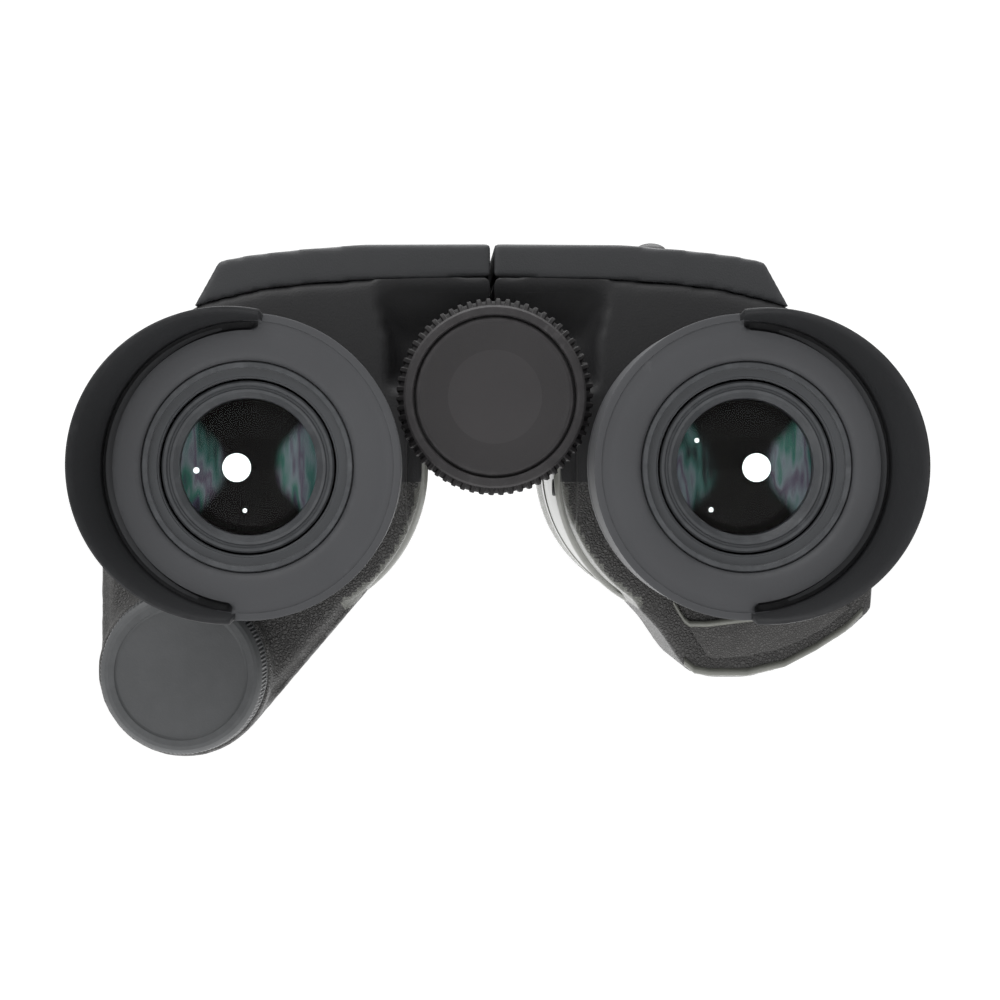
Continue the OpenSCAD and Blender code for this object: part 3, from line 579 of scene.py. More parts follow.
def barrel_skin(side, sign, settings):
    """Smooth rubber over the front of a bare barrel, with a raised lip along its curved rear edge."""
    centre = (sign * AXIS_X, AXIS_Z)
    front = BARREL_Y / MM
    points = [(25.05, -60.0), (25.6, -60.0), (26.05, -59.5), (26.2, -58.8), (26.1, -58.0), (25.75, -57.2)]
    points += [(25.65, y) for y in (-52.0, -44.0, -34.0, -24.0, -16.0)]
    points += [(25.7, front - 0.6), (25.5, front - 0.15), (25.05, front - 0.15)]
    bm = profile_spin(points, centre, 160)
    for vert in bm.verts:
        angle = polar(vert, centre)[1]
        inner = math.atan2(math.sin(angle), -sign * math.cos(angle))
        below = smoothstep(0.35, -1.5, inner)
        rear = -79.0 + 33.0 * below ** 1.2
        span = front - rear
        tail = vert.co.y / MM + 60.0
        if tail < 3.5:
            vert.co.y = (rear + tail) * MM
        else:
            share = (vert.co.y / MM + 56.5) / (front + 56.5)
            vert.co.y = (rear + 3.5 + share * (span - 3.5)) * MM
    return place_piece(f"{side}_barrel_skin", bm, f"{side}_half", smooth_rubber(settings))


def grip_piece(side, settings):
    node = f"{side}_grip"
    bm = remoulded(node_copy(node), settings.voxel * 0.6 / MM, 3)
    bmesh.ops.recalc_face_normals(bm, faces=bm.faces)
    bm.normal_update()
    for vert in bm.verts:
        swell = 0.1 + 0.08 * noise.noise(vert.co * 900.0)
        vert.co += vert.normal * swell * MM
    return place_piece(f"{side}_grip_skin", bm, f"{side}_half", grained_material(settings),
                       (node,), 60.0)


def thumb_ribs(settings):
    """Short ribs on the inner shoulder of the thumb rest."""
    bm = bmesh.new()
    for index in range(7):
        rib = bmesh.ops.create_cube(bm, size=1.0)["verts"]
        shift = Vector((27.6 + index * 0.55, -81.0, -36.9 - index * 0.82)) * MM
        bmesh.ops.scale(bm, vec=(1.6 * MM, 6.0 * MM, 0.42 * MM), verts=rib)
        bmesh.ops.rotate(bm, verts=rib, cent=(0, 0, 0), matrix=Matrix.Rotation(math.radians(56), 3, "Y"))
        bmesh.ops.translate(bm, verts=rib, vec=shift)
    soften(bm, 0.14, 2)
    return place_piece("thumb_rest_ribs", bm, "right_half", housing_material(settings))


def raised_line(bm, route, radius, y):
    """Adds a round raised line that runs through (x, z) points, in mm, on a rear face at y."""
    line = bmesh.new()
    bmesh.ops.create_circle(line, cap_ends=True, segments=12, radius=radius * MM)
    edges = line.edges[:]
    bmesh.ops.rotate(line, verts=line.verts, cent=(0, 0, 0), matrix=Matrix.Rotation(math.radians(90), 3, "Y"))
    bmesh.ops.translate(line, verts=line.verts, vec=Vector((route[0][0], y, route[0][1])) * MM)
    for (x0, z0), (x1, z1) in zip(route, route[1:]):
        made = bmesh.ops.extrude_edge_only(line, edges=edges)["geom"]
        ring = [g for g in made if isinstance(g, bmesh.types.BMVert)]
        edges = [g for g in made if isinstance(g, bmesh.types.BMEdge) and all(v in ring for v in g.verts)]
        bmesh.ops.translate(line, verts=ring, vec=Vector((x1 - x0, 0, z1 - z0)) * MM)
    bmesh.ops.contextual_create(line, geom=edges)
    bmesh.ops.recalc_face_normals(line, faces=line.faces)
    join_into(bm, line)


def thumb_rest_trim(settings):
    """The thumb rest's inset panel, its pale upper step and its lower lip."""
    outline = [(30.9, -35.5), (33.4, -39.6), (34.3, -40.6), (35.6, -40.9), (40.4, -40.5), (45.0, -39.5),
               (49.0, -38.0), (52.7, -36.0), (56.6, -32.9), (52.0, -29.5), (42.6, -34.0)]
    rear = REAR_Y / MM
    bm = bmesh.new()
    corners = [bm.verts.new((x * MM, (rear + 0.4) * MM, z * MM)) for x, z in outline]
    face = bm.faces.new(corners)
    made = bmesh.ops.extrude_face_region(bm, geom=[face])["geom"]
    front = [g for g in made if isinstance(g, bmesh.types.BMVert)]
    bmesh.ops.translate(bm, verts=front, vec=(0, -0.85 * MM, 0))
    bmesh.ops.recalc_face_normals(bm, faces=bm.faces)
    soften(bm, 0.25, 2, 60.0)
    place_piece("thumb_rest_panel", bm, "right_half", panel_material(settings))
    bm = bmesh.new()
    step = [(28.6, -31.9), (29.6, -33.6), (30.4, -34.8), (31.2, -35.4), (34.0, -35.4), (42.6, -34.4)]
    lip = [(30.4, -41.3), (32.0, -42.6), (34.5, -43.0), (40.3, -43.0), (46.3, -41.6), (51.3, -39.0),
           (56.0, -36.0), (58.6, -33.4)]
    raised_line(bm, step, 0.55, rear - 0.2)
    raised_line(bm, lip, 0.7, rear + 0.35)
    place_piece("thumb_rest_lip", bm, "right_half", smooth_rubber(settings))


def front_barrel(side, sign, settings):
    centre = (sign * AXIS_X, AXIS_Z)
    front = RIM_Y / MM
    back = BARREL_Y / MM
    points = [(22.6, back - 1.4), (22.85, back - 1.6), (22.85, back - 5.8), (23.85, back - 5.8),
              (23.85, back + 0.05), (25.3, back + 0.05), (25.9, back + 0.7)]
    y = back + 8.0
    while y < front - 8.0:
        points += [(25.9, y), (25.45, y + 0.35), (25.45, y + 1.0), (25.9, y + 1.35)]
        y += 3.0
    points += [(25.9, front - 3.6), (25.5, front - 3.2), (25.5, front - 2.8), (25.9, front - 2.4),
               (25.9, front - 1.0), (25.2, front - 0.1), (24.2, front), (22.8, front - 0.2),
               (22.2, front - 1.2), (22.2, front - 4.0), (22.6, front - 4.2)]
    bm = profile_spin(points, centre, 160)
    return place_piece(f"{side}_front_barrel_rubber", bm, f"{side}_half", smooth_rubber(settings),
                       (f"{side}_front_barrel",), 30.0)


# ---- Optics ----

def objective_pieces(side, sign):
    centre = (sign * AXIS_X, AXIS_Z)
    low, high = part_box(f"{side}_objective_lens")
    back, front = low.y / MM, high.y / MM
    dome = [(21.0 * math.sin(a), front - 2.6 + 2.6 * math.cos(a)) for a in
            [i * math.pi / 2 / 10 for i in range(11)]]
    points = [(0.0, back + 0.6), (20.9, back + 0.6)] + [(r * 20.9 / 21.0, y) for r, y in reversed(dome)]
    bm = profile_spin(points, centre, 128)
    place_piece(f"{side}_objective_glass", bm, f"{side}_half",
                glass("Objective Glass", (0.78, 0.95, 0.88, 1)),
                (f"{side}_objective_lens",), 30.0)
    ring_low, ring_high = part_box(f"{side}_objective_ring")
    y0, y1 = ring_low.y / MM, ring_high.y / MM
    points = [(20.9, y0 + 0.2), (20.9, y1)]
    turns = 5
    for index in range(turns):
        y = y1 - (y1 - y0 - 0.4) * index / turns
        points += [(20.2, y - 0.02), (20.55, y - (y1 - y0 - 0.4) / turns * 0.6)]
    points.append((20.2, y0 + 0.2))
    bm = profile_spin(points, centre, 96)
    place_piece(f"{side}_objective_retainer", bm, f"{side}_half", black_metal(),
                (f"{side}_objective_ring",), 30.0)


def eye_lens_pieces(side, sign, settings):
    centre = (sign * AXIS_X, AXIS_Z)
    low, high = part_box(f"{side}_eye_lens")
    back, front = low.y / MM, high.y / MM
    dome = [(10.75 * math.sin(a), back + 1.5 - 1.45 * math.cos(a)) for a in
            [i * math.pi / 2 / 10 for i in range(11)]]
    points = dome + [(10.75, front - 3.6), (0.0, front - 3.6)]
    bm = profile_spin(points, centre, 96)
    place_piece(f"{side}_eye_lens_glass", bm, f"{side}_half",
                glass("Eye Lens Glass", (0.9, 0.97, 0.95, 1)), (f"{side}_eye_lens",), 30.0)
    bm = profile_spin([(0.0, front - 2.9), (9.5, front - 3.0), (10.7, front - 3.2), (10.7, front - 0.3),
                       (0.0, front - 0.3)], centre, 96)
    # Painted shade and reflections: a dark disc inside the eye lens stands for the unlit interior, with
    # glowing coloured patches for the coating reflections
    inner = reflections(f"{side.title()} Lens Reflections", centre, 7.0 + 5.0 * sign)
    place_piece(f"{side}_lens_shade_and_reflections", bm, f"{side}_half", inner, (), 30.0)
    bm = bmesh.new()
    # Painted highlights: small glowing discs behind the eye lens, joined with the pupil disc
    glints = ([(-2.0, -0.1, 2.05), (-7.9, -0.5, 0.4), (-0.8, -6.4, 0.28)] if sign < 0 else
              [(2.2, -0.1, 2.05), (-6.6, 3.9, 0.3), (-4.5, -6.3, 0.3)])
    for shift, lift, radius in glints:
        middle = (centre[0] + shift * MM, centre[1] + lift * MM)
        disc = [(0.0, front - 3.15), (radius, front - 3.12), (radius + 0.05, front - 3.02),
                (0.0, front - 3.0)]
        join_into(bm, profile_spin(disc, middle, 48))
    place_piece(f"{side}_pupil_light_and_glints", bm, f"{side}_half", pupil_light_and_glints(), (), 30.0)
    ring_low, ring_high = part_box(f"{side}_eye_lens_ring")
    y0, y1 = ring_low.y / MM, ring_high.y / MM
    points = [(12.55, y1), (12.55, y0 + 0.25), (12.3, y0), (11.9, y0), (11.7, y0 + 0.3), (11.5, y0 + 0.3),
              (11.3, y0 + 0.05), (10.9, y0 + 0.15), (10.1, y0 + 0.9), (10.0, y1)]
    bm = profile_spin(points, centre, 128)
    place_piece(f"{side}_eye_lens_bezel", bm, f"{side}_half", ring_plastic(settings),
                (f"{side}_eye_lens_ring",), 20.0)


def eyecup_pieces(side, sign, tilt, settings):
    """The rubber eyecup with its wing, and the stepped hard sleeve inside it."""
    centre = (sign * AXIS_X, AXIS_Z)
    rim = EYE_Y / MM
    back = CUP_BACK_Y / MM
    wing_mark = 1.0
    outer = [(20.55, back), (22.0, back), (22.3, back - 0.4), (22.3, back - 4.0), (22.1, back - 4.4),
             (22.1, back - 5.0), (22.3, back - 5.4), (22.3, rim + 1.2), (22.29, rim + 0.4)]
    wing = [(22.28, rim), (22.27, rim - 0.2), (22.24, rim - 0.45), (22.18, rim - 0.7), (22.1, rim - 0.88),
            (21.85, rim - 0.98), (21.55, rim - wing_mark), (21.3, rim - 0.94), (21.2, rim - 0.8),
            (21.2, rim - 0.5), (21.22, rim - 0.22), (21.24, rim)]
    groove = [(21.2, rim + 0.3), (21.05, rim + 0.6), (20.75, rim + 0.6), (20.5, rim + 0.3)]
    face = [(20.2, rim + 0.12), (19.6, rim + 0.02), (18.6, rim - 0.03), (17.4, rim + 0.02),
            (16.5, rim + 0.12), (15.9, rim + 0.32), (15.55, rim + 0.7), (15.4, rim + 1.2),
            (15.4, rim + 1.8), (20.55, rim + 1.85)]
    bm = profile_spin(outer + wing + groove + face, centre, 240)
    height, ends, flare = settings.wing_height / MM, 2.0, 3.5
    for vert in bm.verts:
        radius, angle = polar(vert, centre)
        swing = math.atan2(math.sin(angle), sign * math.cos(angle)) - math.radians(tilt)
        swing = math.atan2(math.sin(swing), math.cos(swing))
        across = math.cos(swing)
        on_wing = abs(swing) < math.radians(90)
        lift = rim - vert.co.y / MM
        deep = smoothstep(0.0, 0.05, across) * (0.45 + 0.55 * max(across, 0.0))
        if lift > 0.01 and radius > 21.0 * MM:
            tall = ends + (height - ends) * across if on_wing else 0.12
            set_polar(vert, centre, radius + flare * MM * lift * tall / height, angle)
            vert.co.y = (rim - lift * tall) * MM
        elif -0.7 < lift < -0.2 and 20.4 * MM < radius < 21.3 * MM:
            vert.co.y = (rim + 0.08 + (0.2 - 4.6 * lift) * deep) * MM
            set_polar(vert, centre, radius - 1.0 * MM * deep if radius < 20.8 * MM else radius, angle)
        elif 19.0 * MM < radius < 20.4 * MM and -0.5 < lift < 0.1:
            set_polar(vert, centre, radius - 0.9 * MM * deep * (radius / MM - 19.0) / 1.4, angle)
    bmesh.ops.recalc_face_normals(bm, faces=bm.faces)
    piece = place_piece(f"{side}_eyecup_rubber", bm, f"{side}_eyecup_turn",
                        [eyecup_rubber(settings), shaded_wing_rubber(settings)],
                        (f"{side}_eyecup",), 50.0)
    # Painted shade: the wing and the groove at its foot get a darker copy of the eyecup rubber
    for face in piece.data.polygons:
        from_axis = math.hypot(face.center.x - centre[0], face.center.z - centre[1])
        above = rim - face.center.y / MM
        if above > 0.15 or (above < -0.45 and 19.2 * MM < from_axis < 21.4 * MM):
            face.material_index = 1
    face_y = rim + 1.8
    sleeve = [(18.5, back), (20.45, back), (20.45, face_y + 0.1), (15.3, face_y + 0.05),
              (15.3, face_y - 0.75), (15.15, face_y - 0.95), (14.55, face_y - 0.95),
              (14.4, face_y - 0.8), (14.4, face_y - 0.1),
              (13.75, face_y + 0.05), (13.2, face_y + 0.05), (13.1, face_y + 0.3), (12.95, face_y + 0.35),
              (12.85, face_y + 0.7), (12.85, face_y + 2.0), (18.5, face_y + 2.0)]
    bm = profile_spin(sleeve, centre, 160)
    place_piece(f"{side}_eyecup_core", bm, f"{side}_eyecup_turn", ring_plastic(settings),
                (f"{side}_eyecup_sleeve",), 20.0)


# ---- Controls ----

def knob_pieces(settings):
    centre = (0.0, 0.0)
    y0, y1 = KNOB_LOW.y / MM, KNOB_HIGH.y / MM
    points = [(12.3, y0 + 2.0), (12.3, y0 + 0.3), (12.5, y0 + 0.02), (12.9, y0), (13.5, y0 + 0.05),
              (13.8, y0 + 0.3), (14.2, y0 + 0.7), (14.6, y0 + 1.0), (14.9, y0 + 1.5), (14.9, y0 + 4.0),
              (14.9, y0 + 8.0), (14.9, y1 - 1.7), (14.7, y1 - 1.2), (14.2, y1), (2.05, y1), (2.05, y0 + 2.0)]
    bm = profile_spin(points, centre, settings.knob_teeth * 6)
    knurl(bm, centre, settings.knob_teeth, 0.45, y0 + 0.45, y1 - 1.5, 14.0)
    materials = [knob_material(settings), shaded_teeth_material(settings)]
    piece = place_piece("focus_wheel_body", bm, "focus_wheel", materials, ("focus_knob",),
                        25.0)
    # Painted shade: faces on the toothed rim get a darker copy of the wheel plastic
    for face in piece.data.polygons:
        if math.hypot(face.center.x, face.center.z) > 13.7 * MM:
            face.material_index = 1
    points = [(0.0, y0 + 0.62), (7.1, y0 + 0.62), (7.5, y0 + 0.55), (9.5, y0 + 0.38), (11.3, y0 + 0.22),
              (11.75, y0 + 0.28), (11.95, y0 + 0.5), (11.95, y0 + 1.95), (0.0, y0 + 1.95)]
    bm = profile_spin(points, centre, 128)
    materials = [knob_material(settings), disc_material(settings)]
    piece = place_piece("focus_wheel_cap", bm, "focus_wheel", materials, ("focus_knob_cap",),
                        12.0)
    for face in piece.data.polygons:
        if math.hypot(face.center.x, face.center.z) < 7.15 * MM:
            face.material_index = 1


def dioptre_piece(settings):
    centre = (AXIS_X, AXIS_Z)
    y0, y1 = DIAL_LOW.y / MM, DIAL_HIGH.y / MM
    points = [(18.9, y1), (21.0, y1), (21.5, y1 - 0.5), (21.5, y1 - 2.2), (21.7, y1 - 2.5), (21.7, y0 + 5.0),
              (21.7, y0 + 1.4), (21.5, y0 + 0.6), (20.9, y0 + 0.05), (19.2, y0), (18.9, y0 + 0.3)]
    bm = profile_spin(points, centre, settings.dial_teeth * 5)
    knurl(bm, centre, settings.dial_teeth, 0.85, y0 + 0.5, y1 - 2.3, 21.3, 0.58)
    place_piece("dioptre_dial", bm, "dioptre_wheel", knob_material(settings),
                ("dioptre_ring",), 25.0)


def battery_cap_piece(settings):
    centre = (POD.x, POD.z)
    y0, y1 = CAP_LOW.y / MM, CAP_HIGH.y / MM
    collar = y0 + 7.7
    points = [(0.0, y0 + 0.5), (9.9, y0 + 0.42), (10.1, y0 + 0.3), (10.3, y0 + 0.06), (11.2, y0),
              (11.75, y0 + 0.2), (12.1, y0 + 0.6), (12.45, y0 + 1.2), (12.5, y0 + 1.4), (12.7, y0 + 3.2),
              (12.85, collar - 1.5), (12.85, collar - 1.2), (12.9, collar - 0.9), (12.9, collar),
              (10.95, collar), (10.95, y1), (9.35, y1), (9.35, collar - 0.1), (0.0, collar - 0.1)]
    bm = profile_spin(points, centre, settings.cap_teeth * 4)
    knurl(bm, centre, settings.cap_teeth, 0.2, y0 + 1.3, collar - 1.3, 12.3)
    place_piece("battery_door", bm, "battery_cap_turn", cap_material(settings),
                ("battery_cap",), 18.0)


def button_piece():
    low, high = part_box("power_button")
    bm = bmesh.new()
    bmesh.ops.create_uvsphere(bm, u_segments=48, v_segments=24, radius=1.0)
    bmesh.ops.bisect_plane(bm, geom=bm.verts[:] + bm.edges[:] + bm.faces[:], plane_co=(0, 0, 0),
                           plane_no=(0, 0, -1), clear_outer=True)
    rim = [e for e in bm.edges if e.is_boundary]
    made = bmesh.ops.extrude_edge_only(bm, edges=rim)["geom"]
    skirt = [g for g in made if isinstance(g, bmesh.types.BMVert)]
    bmesh.ops.translate(bm, verts=skirt, vec=(0, 0, -3.2))
    bmesh.ops.contextual_create(bm, geom=[g for g in made if isinstance(g, bmesh.types.BMEdge)
                                          and all(v in skirt for v in g.verts)])
    bmesh.ops.scale(bm, vec=(2.64 * MM, 2.64 * MM, 1.5 * MM), verts=bm.verts)
    seat = ((low.x + high.x) / 2, (low.y + high.y) / 2, high.z - 1.5 * MM)
    bmesh.ops.translate(bm, verts=bm.verts, vec=seat)
    bmesh.ops.recalc_face_normals(bm, faces=bm.faces)
    return place_piece("power_button_dome", bm, "button", black_metal(),
                       ("power_button",), 40.0)


def hinge_pieces(settings):
    bm = node_copy("hinge_bracket")
    soften(bm, 0.5, 2, 30.0)
    place_piece("hinge_front_bracket", remoulded(bm, 0.45, 3), "left_half", housing_material(settings),
                ("hinge_bracket",), 60.0)
    low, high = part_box("hinge_pin")
    front, back = high.y / MM, low.y / MM
    points = [(0.0, back), (4.3, back), (4.5, back + 0.3), (4.5, front - 0.4), (4.2, front), (3.2, front),
              (2.7, front - 0.5)]
    y = front - 0.7
    while y > front - 7.2:
        points += [(2.55, y), (2.95, y - 0.3)]
        y -= 0.9
    points += [(2.55, front - 7.9), (0.0, front - 8.0)]
    bm = profile_spin(points, (0.0, 0.0), 64)
    place_piece("tripod_bush", bm, "left_half", steel(), ("hinge_pin",), 25.0)


def dimple_screws():
    """The small countersunk screw in each barrel's inner side."""
    for side, sign in SIDES:
        bm = profile_spin([(0.0, -0.05), (0.45, -0.05), (0.5, 0.2), (0.95, 0.2), (1.1, 0.0), (1.3, -0.1),
                           (1.45, 0.1), (1.45, 1.6), (0.0, 1.6)], (0.0, 0.0), 32)
        quarter_turn = Matrix.Rotation(-sign * math.pi / 2, 3, "Z")
        bmesh.ops.rotate(bm, verts=bm.verts, cent=(0, 0, 0), matrix=quarter_turn)
        place = Vector((sign * (AXIS_X - 25.7 * MM), -60.0 * MM, -14.0 * MM))
        bmesh.ops.translate(bm, verts=bm.verts, vec=place)
        place_piece(f"{side}_barrel_screw", bm, f"{side}_half", black_metal(), (), 30.0)


# ---- Finishes ----

def housing_material(settings):
    return moulded("Housing Plastic", settings.housing_colour, 0.5, fine=0.2, fine_scale=3200.0)


def cover_material(settings):
    return moulded("Cover Plastic", settings.cover_colour, 0.46, fine=0.16, fine_scale=3600.0)


def smooth_rubber(settings):
    return moulded("Smooth Rubber", settings.rubber_colour, 0.34, fine=0.1, fine_scale=1800.0,
                   wear=0.2, specular=0.5)


def grained_material(settings):
    return moulded("Grained Rubber", settings.grain_colour, 0.5, grain=0.7, grain_scale=1900.0,
                   fine=0.2, wear=0.2, specular=0.3)


def lit_side_grain(settings):
    # A lighter copy of the grained rubber: painted light on the lower inner side of each barrel
    return moulded("Lit Side Grained Rubber", settings.rubber_colour, 0.4, grain=0.35, grain_scale=2400.0,
                   fine=0.2, wear=0.2, specular=0.5)


def panel_material(settings):
    colour = tuple(c * 1.5 for c in settings.grain_colour)
    return moulded("Panel Rubber", colour, 0.55, grain=0.4, grain_scale=2600.0, fine=0.2, wear=0.2)


def eyecup_rubber(settings):
    return moulded("Eyecup Rubber", settings.eyecup_colour, 0.6, fine=0.12, fine_scale=1500.0,
                   wear=0.25)


def shaded_wing_rubber(settings):
    # A darker copy of the eyecup rubber: painted shade on the wing and in its groove
    colour = tuple(c * 0.38 for c in settings.eyecup_colour)
    return moulded("Shaded Wing Rubber", colour, 0.6, fine=0.12, fine_scale=1500.0, wear=0.15, specular=0.15)


def ring_plastic(settings):
    return moulded("Ring Plastic", settings.ring_colour, 0.42, fine=0.08, wear=0.3)


def knob_material(settings):
    return moulded("Knob Plastic", settings.knob_colour, 0.45, fine=0.12, fine_scale=3000.0, wear=0.4)


def shaded_teeth_material(settings):
    # A darker, duller copy of the wheel plastic: painted shade on the toothed rim
    colour = tuple(c * 0.45 for c in settings.knob_colour)
    return moulded("Shaded Wheel Teeth", colour, 0.6, fine=0.1, fine_scale=3000.0, wear=0.3, specular=0.1)


def disc_material(settings):
    colour = tuple(c * 1.25 for c in settings.knob_colour)
    return moulded("Wheel Disc", colour, 0.5, fine=0.1, fine_scale=3000.0, wear=0.2)


def cap_material(settings):
    return moulded("Cap Plastic", settings.cap_colour, 0.5, fine=0.1, fine_scale=2400.0, wear=0.25)


def black_metal():
    return moulded("Anodised Black", (0.012, 0.012, 0.013, 1), 0.42, fine=0.08)


def steel():
    return moulded("Blackened Steel", (0.12, 0.12, 0.125, 1), 0.32, fine=0.05, metal=1.0, wear=0.2,
                    contrast=0.12)


INNER_FINISHES = {
    "bare_aluminium": ("Machined Aluminium", (0.62, 0.62, 0.64, 1), 0.35, 1.0),
    "board": ("Circuit Board", (0.02, 0.14, 0.06, 1), 0.45, 0.0),
    "steel": ("Blackened Steel", (0.12, 0.12, 0.125, 1), 0.32, 1.0),
    "nut_brass": ("Turned Brass", (0.68, 0.48, 0.2, 1), 0.3, 1.0),
    "cell_wrap": ("Cell Sleeve", (0.05, 0.12, 0.32, 1), 0.35, 0.0),
    "seal_rubber": ("Seal Rubber", (0.01, 0.01, 0.01, 1), 0.65, 0.0),
    "black_metal": ("Anodised Black", (0.012, 0.012, 0.013, 1), 0.42, 0.0),
    "ring_plastic": ("Ring Plastic", (0.05, 0.05, 0.05, 1), 0.42, 0.0),
    "housing": ("Housing Plastic", (0.04, 0.04, 0.04, 1), 0.5, 0.0),
}


def finish_inner_nodes():
    """Gives every CAD node that still shows the finish of its slot."""
    slots = {part["node"]: part["material_slot"] for part in frame["record"]["subparts"]}
    for name, node in frame["nodes"].items():
        if node.hide_render:
            continue
        slot = slots[name]
        if slot == "coated_glass":
            material = glass("Inner Glass", (0.85, 0.95, 0.93, 1))
        else:
            label, colour, rough, metal = INNER_FINISHES[slot]
            material = moulded(label, colour, rough, metal=metal, fine=0.06, wear=0.2)
        node.data.materials.clear()
        node.data.materials.append(material)


# ---- Settings ----

def colour_property(name, value, description):
    return bpy.props.FloatVectorProperty(name=name, description=description, subtype="COLOR", size=3, min=0.0,
                                         max=1.0, default=value)


class BinocularSizes(bpy.types.PropertyGroup):
    """Sizes and colours of the visible pieces."""
    voxel: bpy.props.FloatProperty(
        name="Mesh size", description="Voxel size of the remoulded housings", default=0.001, min=0.0005,
        max=0.003, unit="LENGTH")
    wing_height: bpy.props.FloatProperty(
        name="Wing height", description="Height of the eyecup wings", default=0.0086, min=0.004, max=0.0086,
        unit="LENGTH")
    knob_teeth: bpy.props.IntProperty(
        name="Wheel teeth", description="Teeth round the focus wheel", default=62, min=30, max=90)
    dial_teeth: bpy.props.IntProperty(
        name="Dial teeth", description="Notches round the dioptre dial", default=65, min=30, max=90)
    cap_teeth: bpy.props.IntProperty(
        name="Cap teeth", description="Teeth round the battery cap", default=120, min=40, max=160)
    housing_colour: colour_property("Housing", (0.022, 0.022, 0.023), "Plastic of the two housings")
    cover_colour: colour_property("Covers", (0.036, 0.037, 0.039), "Plastic of the top covers")
    rubber_colour: colour_property("Smooth rubber", (0.1, 0.102, 0.09), "Rubber on the barrels")
    grain_colour: colour_property("Grained rubber", (0.052, 0.051, 0.05), "Pebbled rubber of the grips")
    eyecup_colour: colour_property("Eyecups", (0.043, 0.044, 0.047), "Soft rubber of the eyecups")
    ring_colour: colour_property("Eyecup rings", (0.04, 0.042, 0.045), "Hard rings inside the eyecups")
    knob_colour: colour_property("Wheels", (0.025, 0.0235, 0.0245), "Focus wheel and dioptre dial")
    cap_colour: colour_property("Battery cap", (0.058, 0.06, 0.062), "Cap of the battery housing")


class StageSettings(bpy.types.PropertyGroup):
    """The floor, the light and the camera."""
    floor_drop: bpy.props.FloatProperty(
        name="Floor drop", description="Distance from the object down to the floor", default=0.35,
        unit="LENGTH")
    lens: bpy.props.FloatProperty(
        name="Lens", description="Focal length of the camera", default=111.8, subtype="DISTANCE_CAMERA")
    light: bpy.props.FloatProperty(
        name="Light", description="Strength of the surrounding light", default=0.62, min=0.0)


# ---- Operators ----

class BINO_OT_stage(bpy.types.Operator):
    """Make the floor, the light and the camera"""
    bl_idname = "bino.stage"
    bl_label = "Stage"

    def execute(self, context):
        stage = context.scene.bino_stage
        scene = context.scene
        scene.view_settings.view_transform = "Standard"
        floor_z = CAD_BOX[0][2] - stage.floor_drop
        bm = bmesh.new()
        bmesh.ops.create_grid(bm, x_segments=8, y_segments=8, size=40.0)
        bmesh.ops.translate(bm, verts=bm.verts, vec=(0, 0, floor_z))
        mesh = bpy.data.meshes.new("floor")
        bm.to_mesh(mesh)
        bm.free()
        floor = bpy.data.objects.new("floor", mesh)
        scene.collection.objects.link(floor)
        paper = moulded("Pale Floor", (0.93, 0.93, 0.93, 1), 0.8, fine=0.0, wear=0.0, contrast=0.01,
                        specular=0.1)
        glow = paper.node_tree.nodes["Principled BSDF"]
        glow.inputs["Emission Color"].default_value = (1, 1, 1, 1)
        glow.inputs["Emission Strength"].default_value = 0.45
        mesh.materials.append(paper)
        world = bpy.data.worlds.new("Soft Studio")
        scene.world = world
        world.use_nodes = True
        tree = world.node_tree
        tree.nodes.clear()
        out = add_node(tree, "ShaderNodeOutputWorld")
        seen = add_node(tree, "ShaderNodeBackground")
        lit = add_node(tree, "ShaderNodeBackground")
        seen.inputs["Color"].default_value = (1, 1, 1, 1)
        seen.inputs["Strength"].default_value = 1.1
        lit.inputs["Color"].default_value = (1, 1, 1, 1)
        lit.inputs["Strength"].default_value = stage.light
        ray = add_node(tree, "ShaderNodeLightPath")
        mix = add_node(tree, "ShaderNodeMixShader")
        link(tree, ray, "Is Camera Ray", mix, 0)
        link(tree, lit, 0, mix, 1)
        link(tree, seen, 0, mix, 2)
        link(tree, mix, 0, out, 0)
        self.area(scene, "key", (-0.5, -0.9, 0.9), 0.9, 12.0)
        self.area(scene, "low_back", (0.2, 1.0, -0.25), 1.4, 6.0)
        self.area(scene, "floor_glow", (0.0, 0.2, 0.9), 1.2, 22.0)
        camera = bpy.data.cameras.new("camera")
        camera.lens = stage.lens
        camera.sensor_width = 36.0
        camera.clip_start = 0.01
        view = bpy.data.objects.new("camera", camera)
        scene.collection.objects.link(view)
        view.location = CAMERA_PLACE
        view.rotation_euler = (math.radians(90 - CAMERA_DOWN), 0.0, math.radians(-CAMERA_ASIDE))
        scene.camera = view
        return {"FINISHED"}

    def area(self, scene, name, place, size, power):
        light = bpy.data.lights.new(name, "AREA")
        light.size = size
        light.energy = power
        lamp = bpy.data.objects.new(name, light)
        scene.collection.objects.link(lamp)
        lamp.location = place
        aim = Vector((0, -0.05, -0.015)) - Vector(place)
        lamp.rotation_euler = aim.to_track_quat("-Z", "Y").to_euler()


class BINO_OT_housings(bpy.types.Operator):
    """Make both housings, their covers, skins and grips"""
    bl_idname = "bino.housings"
    bl_label = "Housings"

    def execute(self, context):
        settings = context.scene.bino_sizes
        for side, sign in SIDES:
            housing_piece(side, settings)
            cover_piece(side, settings)
            barrel_skin(side, sign, settings)
            grip_piece(side, settings)
            front_barrel(side, sign, settings)
        thumb_ribs(settings)
        thumb_rest_trim(settings)
        return {"FINISHED"}


class BINO_OT_optics(bpy.types.Operator):
    """Make the objective and eye lenses with their rings"""
    bl_idname = "bino.optics"
    bl_label = "Lenses"

    def execute(self, context):
        settings = context.scene.bino_sizes
        for side, sign in SIDES:
            objective_pieces(side, sign)
            eye_lens_pieces(side, sign, settings)
        return {"FINISHED"}


class BINO_OT_eyecups(bpy.types.Operator):
    """Make both winged eyecups"""
    bl_idname = "bino.eyecups"
    bl_label = "Eyecups"

    def execute(self, context):
        settings = context.scene.bino_sizes
        eyecup_pieces("left", -1, 5.0, settings)
        eyecup_pieces("right", 1, 2.0, settings)
        return {"FINISHED"}


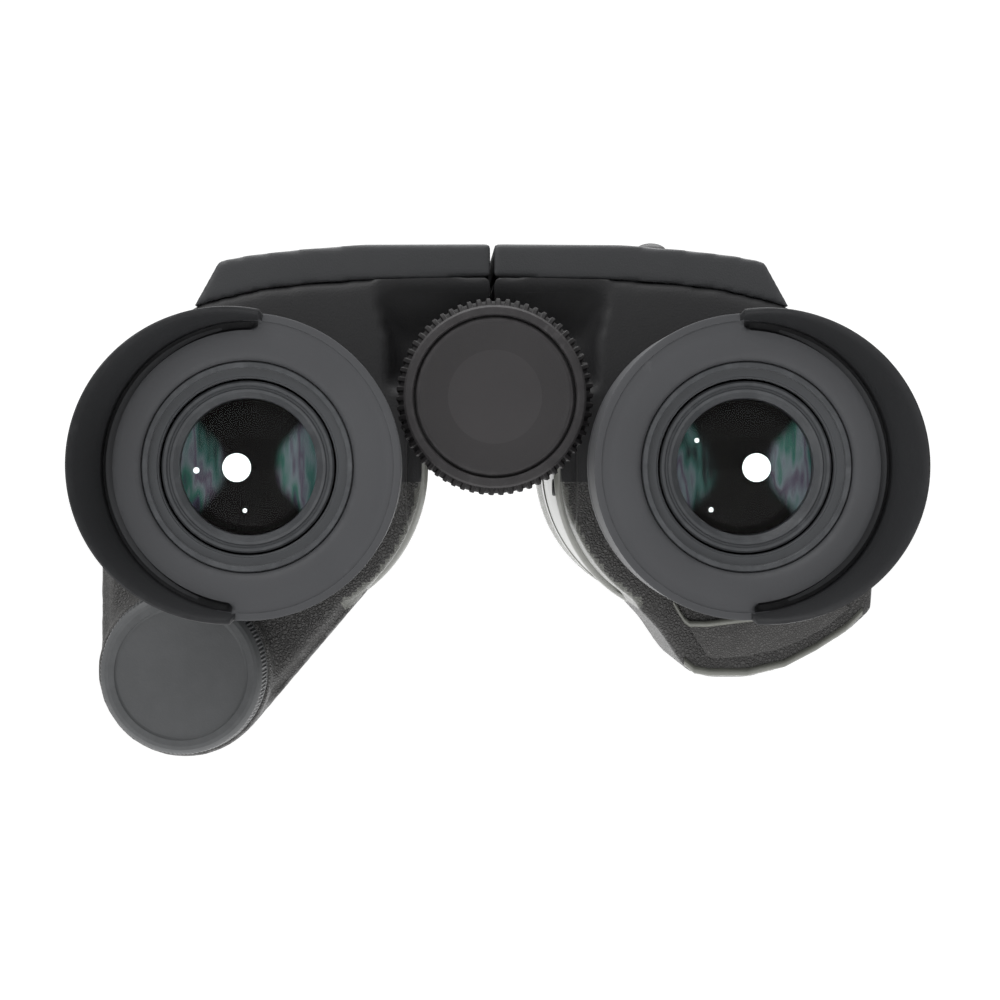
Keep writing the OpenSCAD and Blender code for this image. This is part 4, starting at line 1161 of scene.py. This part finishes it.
class BINO_OT_controls(bpy.types.Operator):
    """Make the focus wheel, dioptre dial, battery cap and power button"""
    bl_idname = "bino.controls"
    bl_label = "Controls"

    def execute(self, context):
        settings = context.scene.bino_sizes
        knob_pieces(settings)
        dioptre_piece(settings)
        battery_cap_piece(settings)
        button_piece()
        return {"FINISHED"}


class BINO_OT_hinge(bpy.types.Operator):
    """Make the front of the hinge, its tripod bush and the small screws"""
    bl_idname = "bino.hinge"
    bl_label = "Hinge"

    def execute(self, context):
        settings = context.scene.bino_sizes
        hinge_pieces(settings)
        dimple_screws()
        return {"FINISHED"}


class BINO_OT_inner(bpy.types.Operator):
    """Give the inner parts their finishes"""
    bl_idname = "bino.inner"
    bl_label = "Inner parts"

    def execute(self, context):
        finish_inner_nodes()
        return {"FINISHED"}


class BINO_PT_panel(bpy.types.Panel):
    """Lists the pieces and their settings"""
    bl_label = "Binoculars"
    bl_idname = "BINO_PT_panel"
    bl_space_type = "VIEW_3D"
    bl_region_type = "UI"
    bl_category = "Binoculars"

    def draw(self, context):
        layout = self.layout
        for group in (context.scene.bino_sizes, context.scene.bino_stage):
            for name in group.__annotations__:
                layout.prop(group, name)
        for operator in OPERATORS:
            layout.operator(operator.bl_idname)


OPERATORS = (BINO_OT_stage, BINO_OT_housings, BINO_OT_optics, BINO_OT_eyecups, BINO_OT_controls,
             BINO_OT_hinge, BINO_OT_inner)
CLASSES = (BinocularSizes, StageSettings) + OPERATORS + (BINO_PT_panel,)


def register():
    for item in CLASSES:
        bpy.utils.register_class(item)
    bpy.types.Scene.bino_sizes = bpy.props.PointerProperty(type=BinocularSizes)
    bpy.types.Scene.bino_stage = bpy.props.PointerProperty(type=StageSettings)


def unregister():
    del bpy.types.Scene.bino_stage
    del bpy.types.Scene.bino_sizes
    for item in reversed(CLASSES):
        bpy.utils.unregister_class(item)


def main():
    register()
    bpy.ops.bino.stage()
    bpy.ops.bino.housings()
    bpy.ops.bino.optics()
    bpy.ops.bino.eyecups()
    bpy.ops.bino.controls()
    bpy.ops.bino.hinge()
    bpy.ops.bino.inner()


if __name__ == "__main__":
    main()
